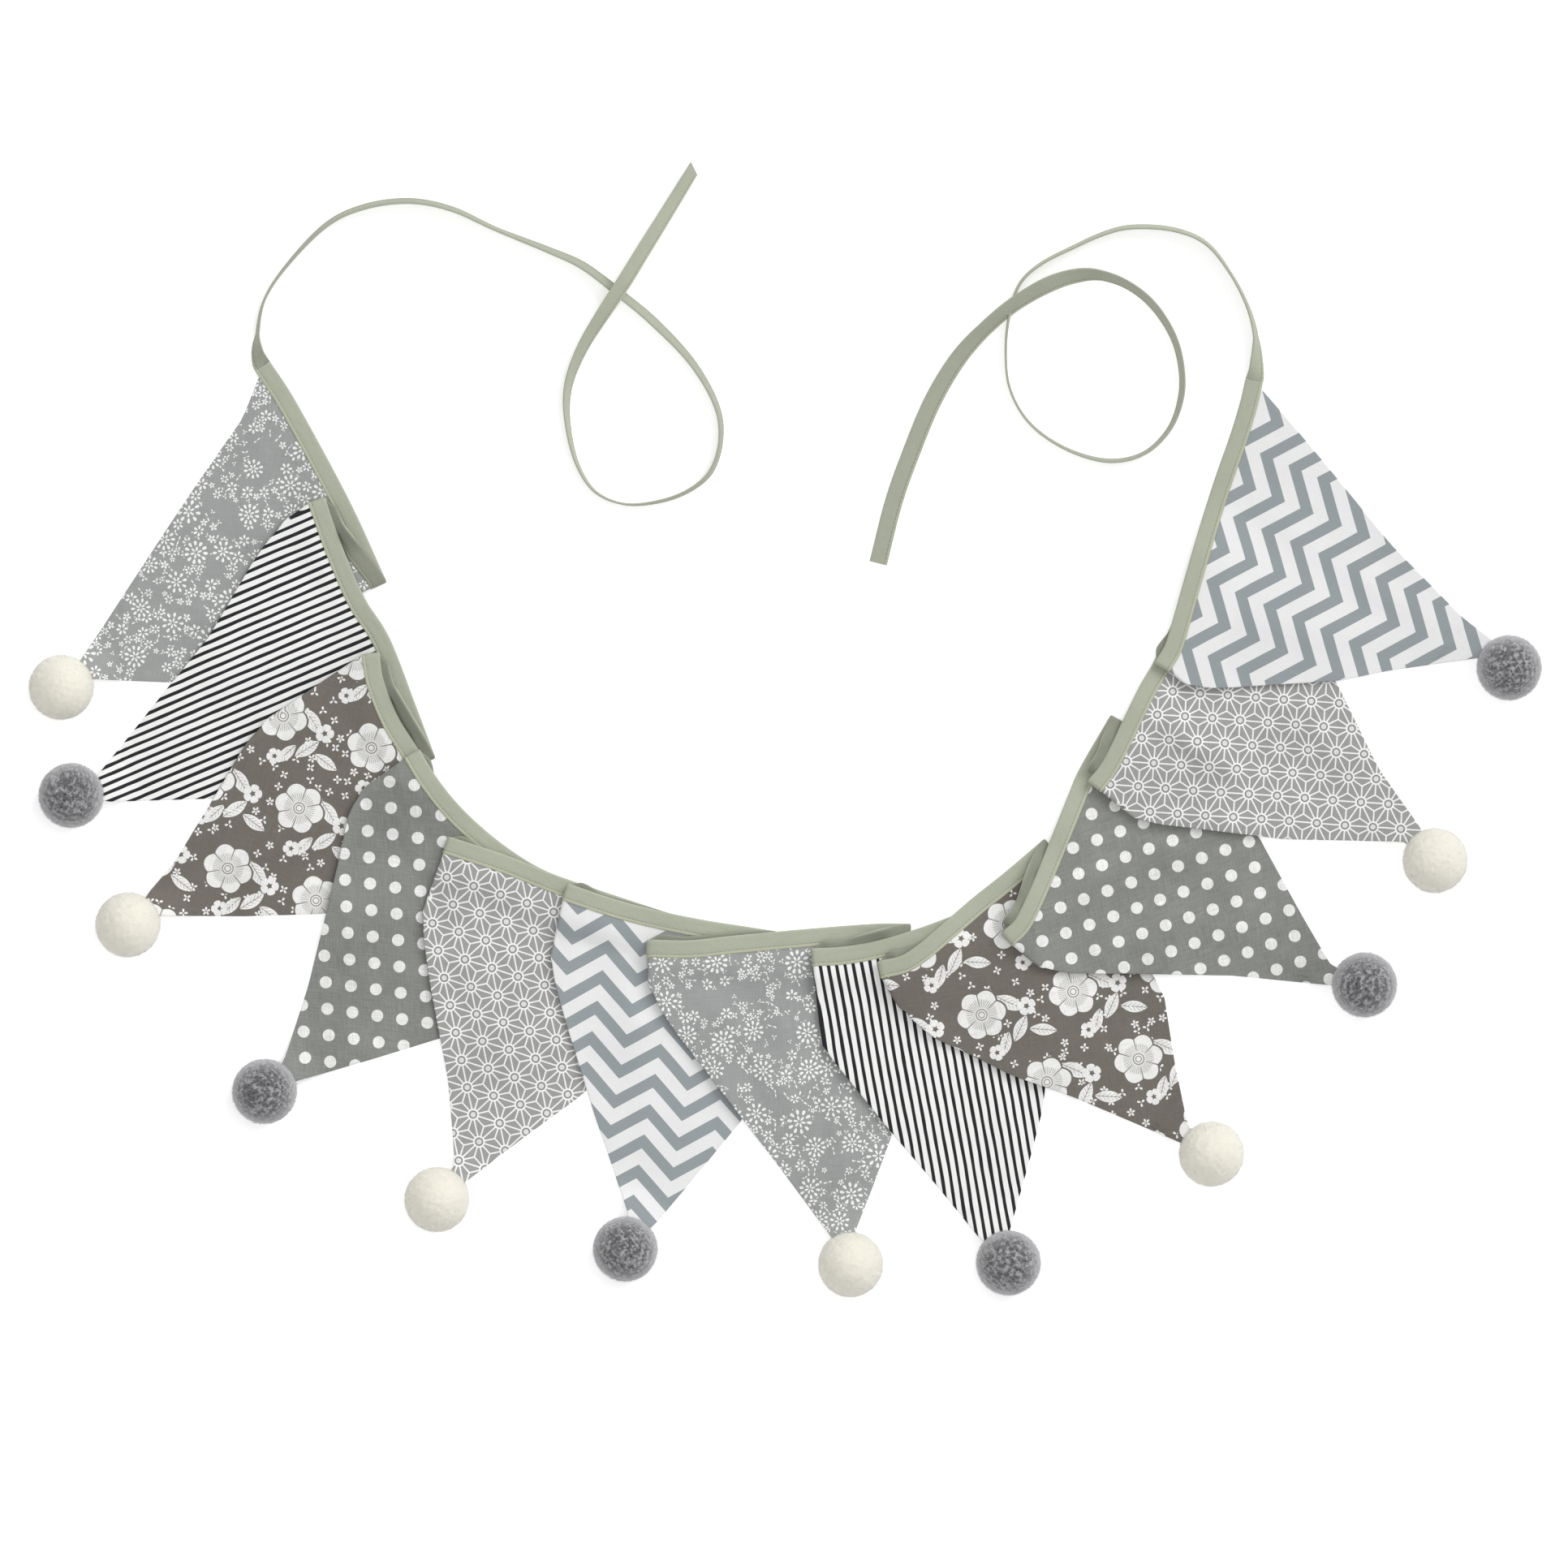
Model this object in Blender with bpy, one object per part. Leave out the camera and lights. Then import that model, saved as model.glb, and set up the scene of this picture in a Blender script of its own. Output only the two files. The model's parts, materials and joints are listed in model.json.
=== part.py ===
"""Fabric bunting: twelve printed pennants hung from one long bias binding.

The bunting lies flat on a surface.  The binding runs along each pennant, turns
back over itself and turns forward again, so the pennants lie in a fan, each one
partly over the one before.  Lengths are in metres and +Z is up.
"""

import math
from collections import namedtuple

import bmesh
import bpy
import numpy as np
from mathutils import Matrix, Vector

# The origin in the plan of the tables: the middle of the bunting without its ties
ORIGIN = Vector((0.00046, 0.00388, 0.0))

# Binding and ties
TAPE_WIDTH = 0.011
TAPE_THICK = 0.0024
SLOT_DEPTH = 0.008            # the binding holds this much of a pennant's top edge
SLOT_THICK = 0.0016
TIE_THICK = 0.0014
END_GAP = 0.0003              # between pieces that meet end to end

# Pennants
CLOTH_THICK = 0.0010
HALF_WIDTH_PER_DROP = 0.466   # half of a pennant's width over its height
CORNER_CUT = 0.0045           # the turned corner at each end of a pennant's top
TIP_REACH = 0.0125            # the blunt tip stops this far from its pompom's middle
TIP_HALF_WIDTH = 0.0045
TIP_COLUMNS = (0.0045, 0.012)
ROWS = (0.0, 0.16, 0.34, 0.56, 0.80, 1.0)
ROWS_IN_BINDING = 2
SIDE_COLUMNS = 4

# Lying in layers
TAPE_STEP = 0.0034            # height that one layer of tape adds
CLOTH_STEP = 0.0022           # height that one layer of cloth adds
LEVEL_MARGIN = 0.007          # a layer keeps its full height this far past its edge
SETTLE = 0.040                # and falls to nothing over this length
TAPE_SETTLE = 0.020           # cloth leaves the height of its binding over this length
FOLD_RADIUS = TAPE_STEP / 2
FOLD_ANGLES = (math.radians(60.0), math.radians(120.0))
FLAP_COLUMN = 0.012           # widest column in a folded corner
SHORTEST_DROP = 0.0015        # cloth that shows below the binding at a corner
LINE_UP = 0.080               # cloth leaves the spacing of its binding over this length
TIP_CLIMB = 0.080             # and climbs to its pompom within this length
RETURN_PULL = 0.35            # how straight the binding goes on before it turns back
RETURN_STEPS = 25

# Pompoms
POMPOM_RADIUS = 0.020
POMPOM_MIDDLE = 0.0178        # height of its middle above the surface
CORE_RADIUS = 0.011
LOCK_GAP = 0.00078            # half of the groove between two locks, at the core
LOCK_UNEVEN = 0.0007
TIP_TILT = math.radians(25.0)
SPIN = (0.1, 1.4)             # least and most turn about the tip, in radians

Cloth = namedtuple("Cloth", "colour roughness")
FABRICS = {
    "ditsy": Cloth((0.33, 0.35, 0.35), 0.90),
    "stripe": Cloth((0.62, 0.63, 0.63), 0.90),
    "floral": Cloth((0.20, 0.18, 0.165), 0.90),
    "dots": Cloth((0.29, 0.31, 0.29), 0.92),
    "star": Cloth((0.45, 0.45, 0.46), 0.90),
    "chevron": Cloth((0.55, 0.58, 0.60), 0.88),
}
PRINT_ORDER = ("ditsy", "stripe", "floral", "dots", "star", "chevron")
SAGE = Cloth((0.46, 0.48, 0.37), 0.85)
WHITE_YARN = Cloth((0.82, 0.82, 0.76), 0.95)
GREY_YARN = Cloth((0.27, 0.27, 0.29), 0.95)

# One row for each pennant, in plan.  run is the binding's middle line from its
# left fold to its right fold.  left and right are the cloth's two sides from the
# binding to the tip; where a side is folded, its first stretch is the crease.
Pennant = namedtuple("Pennant", "left_folded right_folded pompom run left right")
PENNANTS = [
    Pennant(
        False, True, (-0.4447, 0.0905),
        run=[(-0.3212, 0.2880), (-0.3048, 0.2625), (-0.2727, 0.2030), (-0.2502, 0.1540)],
        left=[(-0.3227, 0.2850), (-0.3342, 0.2575), (-0.3832, 0.1840), (-0.4338, 0.1065)],
        right=[(-0.2547, 0.1510), (-0.3307, 0.1125), (-0.3777, 0.0935), (-0.4253, 0.0955)]),
    Pennant(
        True, True, (-0.4387, 0.0240),
        run=[(-0.2878, 0.2050), (-0.2767, 0.1740), (-0.2632, 0.1430), (-0.2482, 0.1190),
             (-0.2323, 0.0780), (-0.2203, 0.0460)],
        left=[(-0.2923, 0.2025), (-0.3108, 0.1900), (-0.3282, 0.1655), (-0.3553, 0.1205),
              (-0.3837, 0.0855), (-0.4228, 0.0365)],
        right=[(-0.2253, 0.0440), (-0.2452, 0.0360), (-0.2933, 0.0260), (-0.3523, 0.0220),
               (-0.4183, 0.0200)]),
    Pennant(
        True, True, (-0.4037, -0.0555),
        run=[(-0.2547, 0.1105), (-0.2517, 0.0930), (-0.2422, 0.0690), (-0.2293, 0.0480),
             (-0.2157, 0.0175), (-0.2047, -0.0075)],
        left=[(-0.2597, 0.1080), (-0.3227, 0.0680), (-0.3322, 0.0550), (-0.3523, 0.0210),
              (-0.3752, -0.0165), (-0.3932, -0.0380)],
        right=[(-0.2097, -0.0095), (-0.2682, -0.0470), (-0.2828, -0.0490),
               (-0.3332, -0.0505), (-0.3837, -0.0500)]),
    Pennant(
        True, True, (-0.3197, -0.1580),
        run=[(-0.2288, 0.0490), (-0.2198, 0.0340), (-0.2067, 0.0170), (-0.1918, 0.0020),
             (-0.1732, -0.0130), (-0.1532, -0.0255), (-0.1293, -0.0355)],
        left=[(-0.2328, 0.0465), (-0.2622, 0.0255), (-0.2677, 0.0125), (-0.2818, -0.0470),
              (-0.2933, -0.0935), (-0.3078, -0.1385)],
        right=[(-0.1313, -0.0405), (-0.1598, -0.1145), (-0.2132, -0.1260),
               (-0.2537, -0.1385), (-0.3003, -0.1520)]),
    Pennant(
        True, True, (-0.2137, -0.2245),
        run=[(-0.2077, -0.0065), (-0.1732, -0.0180), (-0.1457, -0.0290), (-0.1172, -0.0390),
             (-0.0932, -0.0470), (-0.0717, -0.0540)],
        left=[(-0.2092, -0.0125), (-0.2238, -0.0520), (-0.2182, -0.0935),
              (-0.2072, -0.1510), (-0.2028, -0.2030)],
        right=[(-0.0732, -0.0590), (-0.0887, -0.1060), (-0.1232, -0.1595),
               (-0.1608, -0.1870), (-0.1963, -0.2140)]),
    Pennant(
        True, True, (-0.0978, -0.2550),
        run=[(-0.1343, -0.0355), (-0.1047, -0.0455), (-0.0757, -0.0530), (-0.0483, -0.0585),
             (-0.0257, -0.0620), (-0.0067, -0.0650)],
        left=[(-0.1363, -0.0405), (-0.1447, -0.0790), (-0.1338, -0.1185),
              (-0.1172, -0.1720), (-0.0958, -0.2345)],
        right=[(-0.0077, -0.0705), (-0.0182, -0.1585), (-0.0253, -0.1750),
               (-0.0587, -0.2155), (-0.0808, -0.2415)]),
    Pennant(
        True, True, (0.0408, -0.2645),
        run=[(-0.0838, -0.0700), (-0.0583, -0.0705), (-0.0333, -0.0680), (0.0168, -0.0635),
             (0.0568, -0.0605), (0.0767, -0.0605)],
        left=[(-0.0843, -0.0755), (-0.0833, -0.0970), (-0.0678, -0.1205),
              (-0.0333, -0.1655), (-0.0057, -0.2015), (0.0262, -0.2445)],
        right=[(0.0767, -0.0660), (0.0772, -0.0905), (0.0697, -0.1460), (0.0658, -0.1870),
               (0.0532, -0.2205), (0.0442, -0.2430)]),
    Pennant(
        True, True, (0.1378, -0.2635),
        run=[(0.0177, -0.0755), (0.0367, -0.0745), (0.0568, -0.0710), (0.0767, -0.0655),
             (0.0968, -0.0585), (0.1308, -0.0455)],
        left=[(0.0182, -0.0815), (0.0238, -0.1330), (0.0323, -0.1420), (0.0633, -0.1805),
              (0.0927, -0.2150), (0.1212, -0.2500)],
        right=[(0.1328, -0.0505), (0.1628, -0.1360), (0.1593, -0.1685), (0.1527, -0.1950),
               (0.1457, -0.2200), (0.1388, -0.2435)]),
    Pennant(
        True, True, (0.2627, -0.1965),
        run=[(0.0592, -0.0830), (0.0742, -0.0795), (0.0877, -0.0705), (0.1017, -0.0585),
             (0.1192, -0.0435), (0.1393, -0.0275), (0.1628, -0.0075)],
        left=[(0.0607, -0.0880), (0.0727, -0.1090), (0.0932, -0.1245), (0.1388, -0.1480),
              (0.1797, -0.1625), (0.2442, -0.1900)],
        right=[(0.1663, -0.0115), (0.2188, -0.0725), (0.2338, -0.0985), (0.2402, -0.1390),
               (0.2482, -0.1790)]),
    Pennant(
        True, True, (0.3568, -0.0925),
        run=[(0.1373, -0.0640), (0.1457, -0.0560), (0.1537, -0.0405), (0.1668, -0.0100),
             (0.1802, 0.0230), (0.1872, 0.0390), (0.2052, 0.0700)],
        left=[(0.1412, -0.0675), (0.1598, -0.0830), (0.1933, -0.0855), (0.2757, -0.0870),
              (0.3367, -0.0930)],
        right=[(0.2097, 0.0670), (0.2442, 0.0465), (0.2818, 0.0140), (0.2928, -0.0025),
               (0.3172, -0.0470), (0.3367, -0.0810)]),
    Pennant(
        True, True, (0.4002, -0.0160),
        run=[(0.1913, 0.0300), (0.1993, 0.0405), (0.2077, 0.0565), (0.2228, 0.0875),
             (0.2318, 0.1030), (0.2442, 0.1290), (0.2557, 0.1560)],
        left=[(0.1958, 0.0265), (0.2182, 0.0080), (0.2662, 0.0020), (0.3078, -0.0030),
              (0.3807, -0.0045)],
        right=[(0.2607, 0.1540), (0.3123, 0.1320), (0.3407, 0.0925), (0.3658, 0.0410),
               (0.3907, 0.0055)]),
    Pennant(
        True, False, (0.4457, 0.1025),
        run=[(0.2328, 0.1035), (0.2397, 0.1155), (0.2452, 0.1340), (0.2567, 0.1740),
             (0.2692, 0.2140), (0.2797, 0.2440), (0.2858, 0.2640), (0.2893, 0.2790)],
        left=[(0.2357, 0.1000), (0.2472, 0.0900), (0.2747, 0.0905), (0.3417, 0.0945),
              (0.3703, 0.1005), (0.4263, 0.1085)],
        right=[(0.2928, 0.2775), (0.3302, 0.2320), (0.3733, 0.1790), (0.4183, 0.1330),
               (0.4373, 0.1185)]),
]

# The ties, from the binding to their free ends.  tilt is how far the tape stands
# up on its sewn edge, in degrees, and lift how far that edge is off the surface.
TiePoint = namedtuple("TiePoint", "x y tilt lift")
LEFT_TIE = [
    TiePoint(-0.3240, 0.2945, 40, 0.0002),
    TiePoint(-0.3245, 0.3070, 80, 0.0),
    TiePoint(-0.3202, 0.3290, 86, 0.0),
    TiePoint(-0.3058, 0.3510, 82, 0.0),
    TiePoint(-0.2818, 0.3755, 76, 0.0),
    TiePoint(-0.2582, 0.3865, 74, 0.0),
    TiePoint(-0.2308, 0.3900, 74, 0.0),
    TiePoint(-0.2047, 0.3850, 76, 0.0),
    TiePoint(-0.1772, 0.3725, 80, 0.0),
    TiePoint(-0.1457, 0.3600, 72, 0.0),
    TiePoint(-0.1237, 0.3500, 66, 0.0),
    TiePoint(-0.1013, 0.3330, 64, 0.0),
    TiePoint(-0.0803, 0.3155, 62, 0.0),
    TiePoint(-0.0568, 0.2905, 70, 0.0),
    TiePoint(-0.0418, 0.2640, 76, 0.0),
    TiePoint(-0.0392, 0.2425, 80, 0.0),
    TiePoint(-0.0455, 0.2230, 80, 0.0),
    TiePoint(-0.0600, 0.2110, 84, 0.0),
    TiePoint(-0.0793, 0.2045, 86, 0.0),
    TiePoint(-0.0993, 0.2035, 84, 0.0),
    TiePoint(-0.1170, 0.2115, 84, 0.0),
    TiePoint(-0.1283, 0.2300, 82, 0.0),
    TiePoint(-0.1338, 0.2560, 76, 0.0),
    TiePoint(-0.1328, 0.2775, 66, 0.001),
    TiePoint(-0.1243, 0.2995, 54, 0.005),
    TiePoint(-0.1108, 0.3215, 42, 0.010),
    TiePoint(-0.0983, 0.3405, 36, 0.0115),
    TiePoint(-0.0870, 0.3590, 38, 0.009),
    TiePoint(-0.0762, 0.3765, 42, 0.005),
    TiePoint(-0.0660, 0.3932, 46, 0.001),
    TiePoint(-0.0558, 0.4100, 50, 0.0),
]
RIGHT_TIE = [
    TiePoint(0.2906, 0.2860, 35, 0.0002),
    TiePoint(0.2903, 0.3060, 76, 0.0),
    TiePoint(0.2853, 0.3250, 82, 0.0),
    TiePoint(0.2747, 0.3455, 84, 0.0),
    TiePoint(0.2597, 0.3640, 80, 0.0),
    TiePoint(0.2392, 0.3725, 78, 0.0),
    TiePoint(0.2142, 0.3740, 78, 0.0),
    TiePoint(0.1968, 0.3700, 80, 0.0),
    TiePoint(0.1777, 0.3615, 82, 0.0),
    TiePoint(0.1582, 0.3515, 84, 0.0),
    TiePoint(0.1452, 0.3395, 86, 0.0),
    TiePoint(0.1387, 0.3210, 87, 0.0),
    TiePoint(0.1363, 0.2975, 88, 0.0),
    TiePoint(0.1390, 0.2740, 88, 0.0),
    TiePoint(0.1512, 0.2530, 86, 0.0),
    TiePoint(0.1732, 0.2375, 84, 0.0),
    TiePoint(0.1992, 0.2300, 80, 0.0),
    TiePoint(0.2212, 0.2345, 82, 0.0),
    TiePoint(0.2367, 0.2490, 80, 0.0),
    TiePoint(0.2440, 0.2675, 76, 0.0),
    TiePoint(0.2447, 0.2860, 76, 0.0),
    TiePoint(0.2397, 0.3060, 74, 0.0),
    TiePoint(0.2278, 0.3250, 70, 0.0),
    TiePoint(0.2127, 0.3375, 68, 0.001),
    TiePoint(0.1958, 0.3440, 60, 0.003),
    TiePoint(0.1807, 0.3440, 40, 0.007),
    TiePoint(0.1628, 0.3385, 14, 0.0110),
    TiePoint(0.1418, 0.3265, 2, 0.0119),
    TiePoint(0.1232, 0.3110, 4, 0.0100),
    TiePoint(0.1067, 0.2925, 8, 0.0050),
    TiePoint(0.0912, 0.2665, 8, 0.0015),
    TiePoint(0.0777, 0.2340, 4, 0.0),
    TiePoint(0.0673, 0.2045, 1, 0.0),
    TiePoint(0.0578, 0.1670, 0, 0.0),
]
TIE_RING_STEP = 0.0115
HEADING_REACH = 0.004         # a line's direction is taken over this length
STEADY_END = 0.006            # and doesn't change this close to its ends

Frame = namedtuple("Frame", "place down normal")


def unit(vector):
    return vector / np.linalg.norm(vector)


def smooth(value):
    value = np.clip(value, 0.0, 1.0)
    return value * value * (3.0 - 2.0 * value)


class Path:
    """A smooth line through plan points, read by the length along it."""

    SPAN_STEPS = 10

    def __init__(self, points, straight=False):
        points = np.array(points, dtype=float)
        self.points = points if straight else self._rounded(points)
        steps = np.linalg.norm(np.diff(self.points, axis=0), axis=1)
        self.lengths = np.concatenate([[0.0], np.cumsum(steps)])
        self.length = self.lengths[-1]
        self.first_heading = unit(self.at(HEADING_REACH) - self.points[0])
        self.last_heading = unit(self.points[-1] - self.at(self.length - HEADING_REACH))

    def _rounded(self, points):
        before = 2 * points[0] - points[1]
        after = 2 * points[-1] - points[-2]
        knots = np.vstack([before, points, after])
        fine = []
        for index in range(1, len(knots) - 2):
            p0, p1, p2, p3 = knots[index - 1:index + 3]
            for step in range(self.SPAN_STEPS):
                t = step / self.SPAN_STEPS
                fine.append(0.5 * (2 * p1 + (p2 - p0) * t
                                   + (2 * p0 - 5 * p1 + 4 * p2 - p3) * t ** 2
                                   + (3 * p1 - p0 - 3 * p2 + p3) * t ** 3))
        fine.append(points[-1])
        return np.array(fine)

    def at(self, length):
        return np.array([np.interp(length, self.lengths, self.points[:, axis])
                         for axis in range(self.points.shape[1])])

    def heading(self, length):
        """Direction of travel, which stays the same close to each end."""
        if length < STEADY_END:
            return self.first_heading
        if length > self.length - STEADY_END:
            return self.last_heading
        return unit(self.at(length + HEADING_REACH) - self.at(length - HEADING_REACH))


def return_path(first, second):
    """The binding's way back, from the right fold of one run to the left fold of the next."""
    start = first.points[-1]
    end = second.points[0]
    pull = RETURN_PULL * np.linalg.norm(end - start)
    leave = start - pull * first.last_heading
    arrive = end + pull * second.first_heading
    line = []
    for t in np.linspace(0.0, 1.0, RETURN_STEPS):
        line.append((1 - t) ** 3 * start + 3 * (1 - t) ** 2 * t * leave
                    + 3 * (1 - t) * t ** 2 * arrive + t ** 3 * end)
    back = Path(line, straight=True)
    back.first_heading = -first.last_heading
    back.last_heading = -second.first_heading
    return back


def distance_to_line(spots, line):
    start = line[:-1][None, :, :]
    along = (line[1:] - line[:-1])[None, :, :]
    offset = spots[:, None, :] - start
    share = np.sum(offset * along, axis=2) / np.maximum(np.sum(along * along, axis=2), 1e-12)
    nearest = offset - np.clip(share, 0.0, 1.0)[:, :, None] * along
    return np.sqrt(np.sum(nearest * nearest, axis=2)).min(axis=1)


def distance_to_patch(spots, patch):
    """Distance to a polygon in plan, zero inside it."""
    ring = np.vstack([patch, patch[:1]])
    inside = np.zeros(len(spots), dtype=bool)
    for (x1, y1), (x2, y2) in zip(ring[:-1], ring[1:]):
        crosses = (y1 > spots[:, 1]) != (y2 > spots[:, 1])
        rise = y2 - y1 if y2 != y1 else 1e-12
        at_x = x1 + (spots[:, 1] - y1) * (x2 - x1) / rise
        inside ^= crosses & (spots[:, 0] < at_x)
    return np.where(inside, 0.0, distance_to_line(spots, ring))


class Layer:
    """One layer of the pile: a stretch of binding and the cloth in it."""

    def __init__(self, strip, patches):
        self.strip = strip
        self.patches = patches

    def lift(self, spots):
        """How much this layer raises what lies over it."""
        apart = distance_to_line(spots, self.strip.points) - TAPE_WIDTH / 2
        height = TAPE_STEP * smooth(1.0 - (apart - LEVEL_MARGIN) / SETTLE)
        for patch in self.patches:
            apart = distance_to_patch(spots, patch)
            height = np.maximum(height, CLOTH_STEP * smooth(1.0 - (apart - LEVEL_MARGIN) / SETTLE))
        return height


def side_down(heading):
    """Across the binding, towards the tips of the pennants."""
    return np.array([heading[1], -heading[0]])


def flap_width(side, folded):
    if not folded:
        return 0.0
    crease = np.linalg.norm(np.subtract(side[1], side[0]))
    return HALF_WIDTH_PER_DROP * (SLOT_DEPTH + crease)


def flap_shares(free):
    count = max(1, math.ceil(free / FLAP_COLUMN))
    return [(step + 1) / count for step in range(count)]


class Side:
    """One side of a pennant in plan, read by the drop below the top edge."""

    def __init__(self, points, folded, tip):
        points = [np.array(point) for point in points] + [tip]
        steps = [np.linalg.norm(b - a) for a, b in zip(points[:-1], points[1:])]
        slant = math.hypot(1.0, HALF_WIDTH_PER_DROP)
        self.crease = steps[0] if folded else 0.0
        drops = [SLOT_DEPTH]
        for index, step in enumerate(steps):
            is_crease = folded and index == 0
            drops.append(drops[-1] + (step if is_crease else step / slant))
        self.points = np.array(points)
        self.drops = np.array(drops)
        self.fold_end = drops[1] if folded else 0.0

    def stretch(self, drop):
        """Scale the slanted part so that both sides meet the tip at the same drop."""
        fixed = self.fold_end if self.crease else SLOT_DEPTH
        share = (drop - fixed) / (self.drops[-1] - fixed)
        self.drops = np.where(self.drops > fixed, fixed + (self.drops - fixed) * share, self.drops)

    def at(self, drop):
        return np.array([np.interp(drop, self.drops, self.points[:, axis]) for axis in (0, 1)])


class Bunting:
    """Works out where every column of cloth and ring of binding lies."""

    def __init__(self):
        self.runs = [Path(pennant.run) for pennant in PENNANTS]
        self.returns = [return_path(a, b) for a, b in zip(self.runs[:-1], self.runs[1:])]
        self.layers = []
        for index, pennant in enumerate(PENNANTS):
            outline = np.array(list(pennant.left) + [pennant.pompom] + list(pennant.right)[::-1])
            self.layers.append(Layer(self.runs[index], [outline]))
            if index < len(self.returns):
                over = self.flap_patch(pennant.right, pennant.right_folded, pennant.left)
                following = PENNANTS[index + 1]
                under = self.flap_patch(following.left, following.left_folded, following.right)
                self.layers.append(Layer(self.returns[index], [over, under]))

    @staticmethod
    def flap_patch(side, folded, other):
        start = np.array(side[0])
        inward = unit(np.array(other[0]) - start)
        return np.array([start, side[1], start + inward * flap_width(side, folded)])

    def pile(self, layer, spots):
        """Height of what lies below a layer."""
        spots = np.atleast_2d(spots)
        return sum((below.lift(spots) for below in self.layers[:layer]), np.zeros(len(spots)))

    def level(self, path, layer, length, flipped=False):
        """The binding's frame on the pile, which it follows across its width."""
        place = path.at(length)
        heading = path.heading(length)
        across = side_down(-heading if flipped else heading)
        edges = self.pile(layer, [place - across * TAPE_WIDTH / 2, place + across * TAPE_WIDTH / 2])
        down = Vector((*across, (edges[1] - edges[0]) / TAPE_WIDTH)).normalized()
        normal = down.cross(Vector((*heading, 0.0))).normalized()
        return Frame(Vector((*place, TAPE_THICK / 2 + edges.mean())), down, normal)

    def fold(self, path, layer, flipped):
        """The two frames of the half turn at a path's end, up to the layer above it."""
        start = self.level(path, layer, path.length, flipped)
        outward = Vector((*path.heading(path.length), 0.0))
        up = outward.cross(start.down).normalized()
        if up.z < 0.0:
            up.negate()
        centre = start.place + (up - outward) * FOLD_RADIUS
        frames = []
        for angle in FOLD_ANGLES:
            spoke = outward * math.sin(angle) - up * math.cos(angle)
            normal = spoke if flipped else -spoke
            frames.append(Frame(centre + spoke * FOLD_RADIUS, start.down, normal))
        return frames

    def middle_of_return(self, before, index, after):
        """The frame halfway between the folded corners of two pennants."""
        back = self.returns[index]
        halfway = (before.place + after.place) / 2
        gaps = np.linalg.norm(back.points - np.array(halfway[:2]), axis=1)
        return self.level(back, 2 * index + 1, back.lengths[int(gaps.argmin())], flipped=True)

    def columns(self, index):
        """Flat positions of the columns of one pennant between its folds."""
        pennant = PENNANTS[index]
        run = self.runs[index].length
        under = flap_width(pennant.left, pennant.left_folded)
        over = flap_width(pennant.right, pennant.right_folded)
        left = under if pennant.left_folded else CORNER_CUT
        level_run = run - FOLD_RADIUS * (pennant.left_folded + pennant.right_folded)
        width = under + level_run + over
        right = width - over if pennant.right_folded else width - CORNER_CUT
        middle = width / 2
        near = max(TIP_COLUMNS)
        flat = list(np.linspace(left, middle - near, SIDE_COLUMNS + 1))
        flat += [middle - TIP_COLUMNS[0], middle + TIP_COLUMNS[0]]
        flat += list(np.linspace(middle + near, right, SIDE_COLUMNS + 1))
        return width, under, over, flat


def make_material(name, cloth):
    material = bpy.data.materials.new(name)
    material.use_nodes = True
    shader = material.node_tree.nodes["Principled BSDF"]
    shader.inputs["Base Color"].default_value = (*cloth.colour, 1.0)
    shader.inputs["Roughness"].default_value = cloth.roughness
    shader.inputs["Metallic"].default_value = 0.0
    material.diffuse_color = (*cloth.colour, 1.0)
    return material


def make_object(name, bm, material):
    bmesh.ops.recalc_face_normals(bm, faces=bm.faces)
    if bm.calc_volume(signed=True) < 0.0:
        bmesh.ops.reverse_faces(bm, faces=bm.faces)
    bmesh.ops.translate(bm, verts=bm.verts, vec=-ORIGIN)
    mesh = bpy.data.meshes.new(name)
    bm.to_mesh(mesh)
    bm.free()
    mesh.materials.append(material)
    thing = bpy.data.objects.new(name, mesh)
    bpy.context.collection.objects.link(thing)
    return thing


def sweep(name, frames, profile, material):
    """A closed solid with the same profile at each frame."""
    bm = bmesh.new()
    rings = []
    for frame in frames:
        ring = [bm.verts.new(frame.place + frame.down * across + frame.normal * up)
                for across, up in profile]
        rings.append(ring)
    for ring, following in zip(rings[:-1], rings[1:]):
        for corner in range(len(profile)):
            beside = (corner + 1) % len(profile)
            bm.faces.new((ring[corner], ring[beside], following[beside], following[corner]))
    bm.faces.new(rings[0][::-1])
    bm.faces.new(rings[-1])
    return make_object(name, bm, material)


def binding_profile():
    edge = TAPE_WIDTH / 2
    skin = TAPE_THICK / 2
    slot = SLOT_THICK / 2
    inner = edge - SLOT_DEPTH
    return [(-edge, -skin), (edge, -skin), (edge, -slot), (inner, -slot),
            (inner, slot), (edge, slot), (edge, skin), (-edge, skin)]


def tape_profile(thickness):
    edge = TAPE_WIDTH / 2
    skin = thickness / 2
    return [(-edge, -skin), (edge, -skin), (edge, skin), (-edge, skin)]


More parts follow.
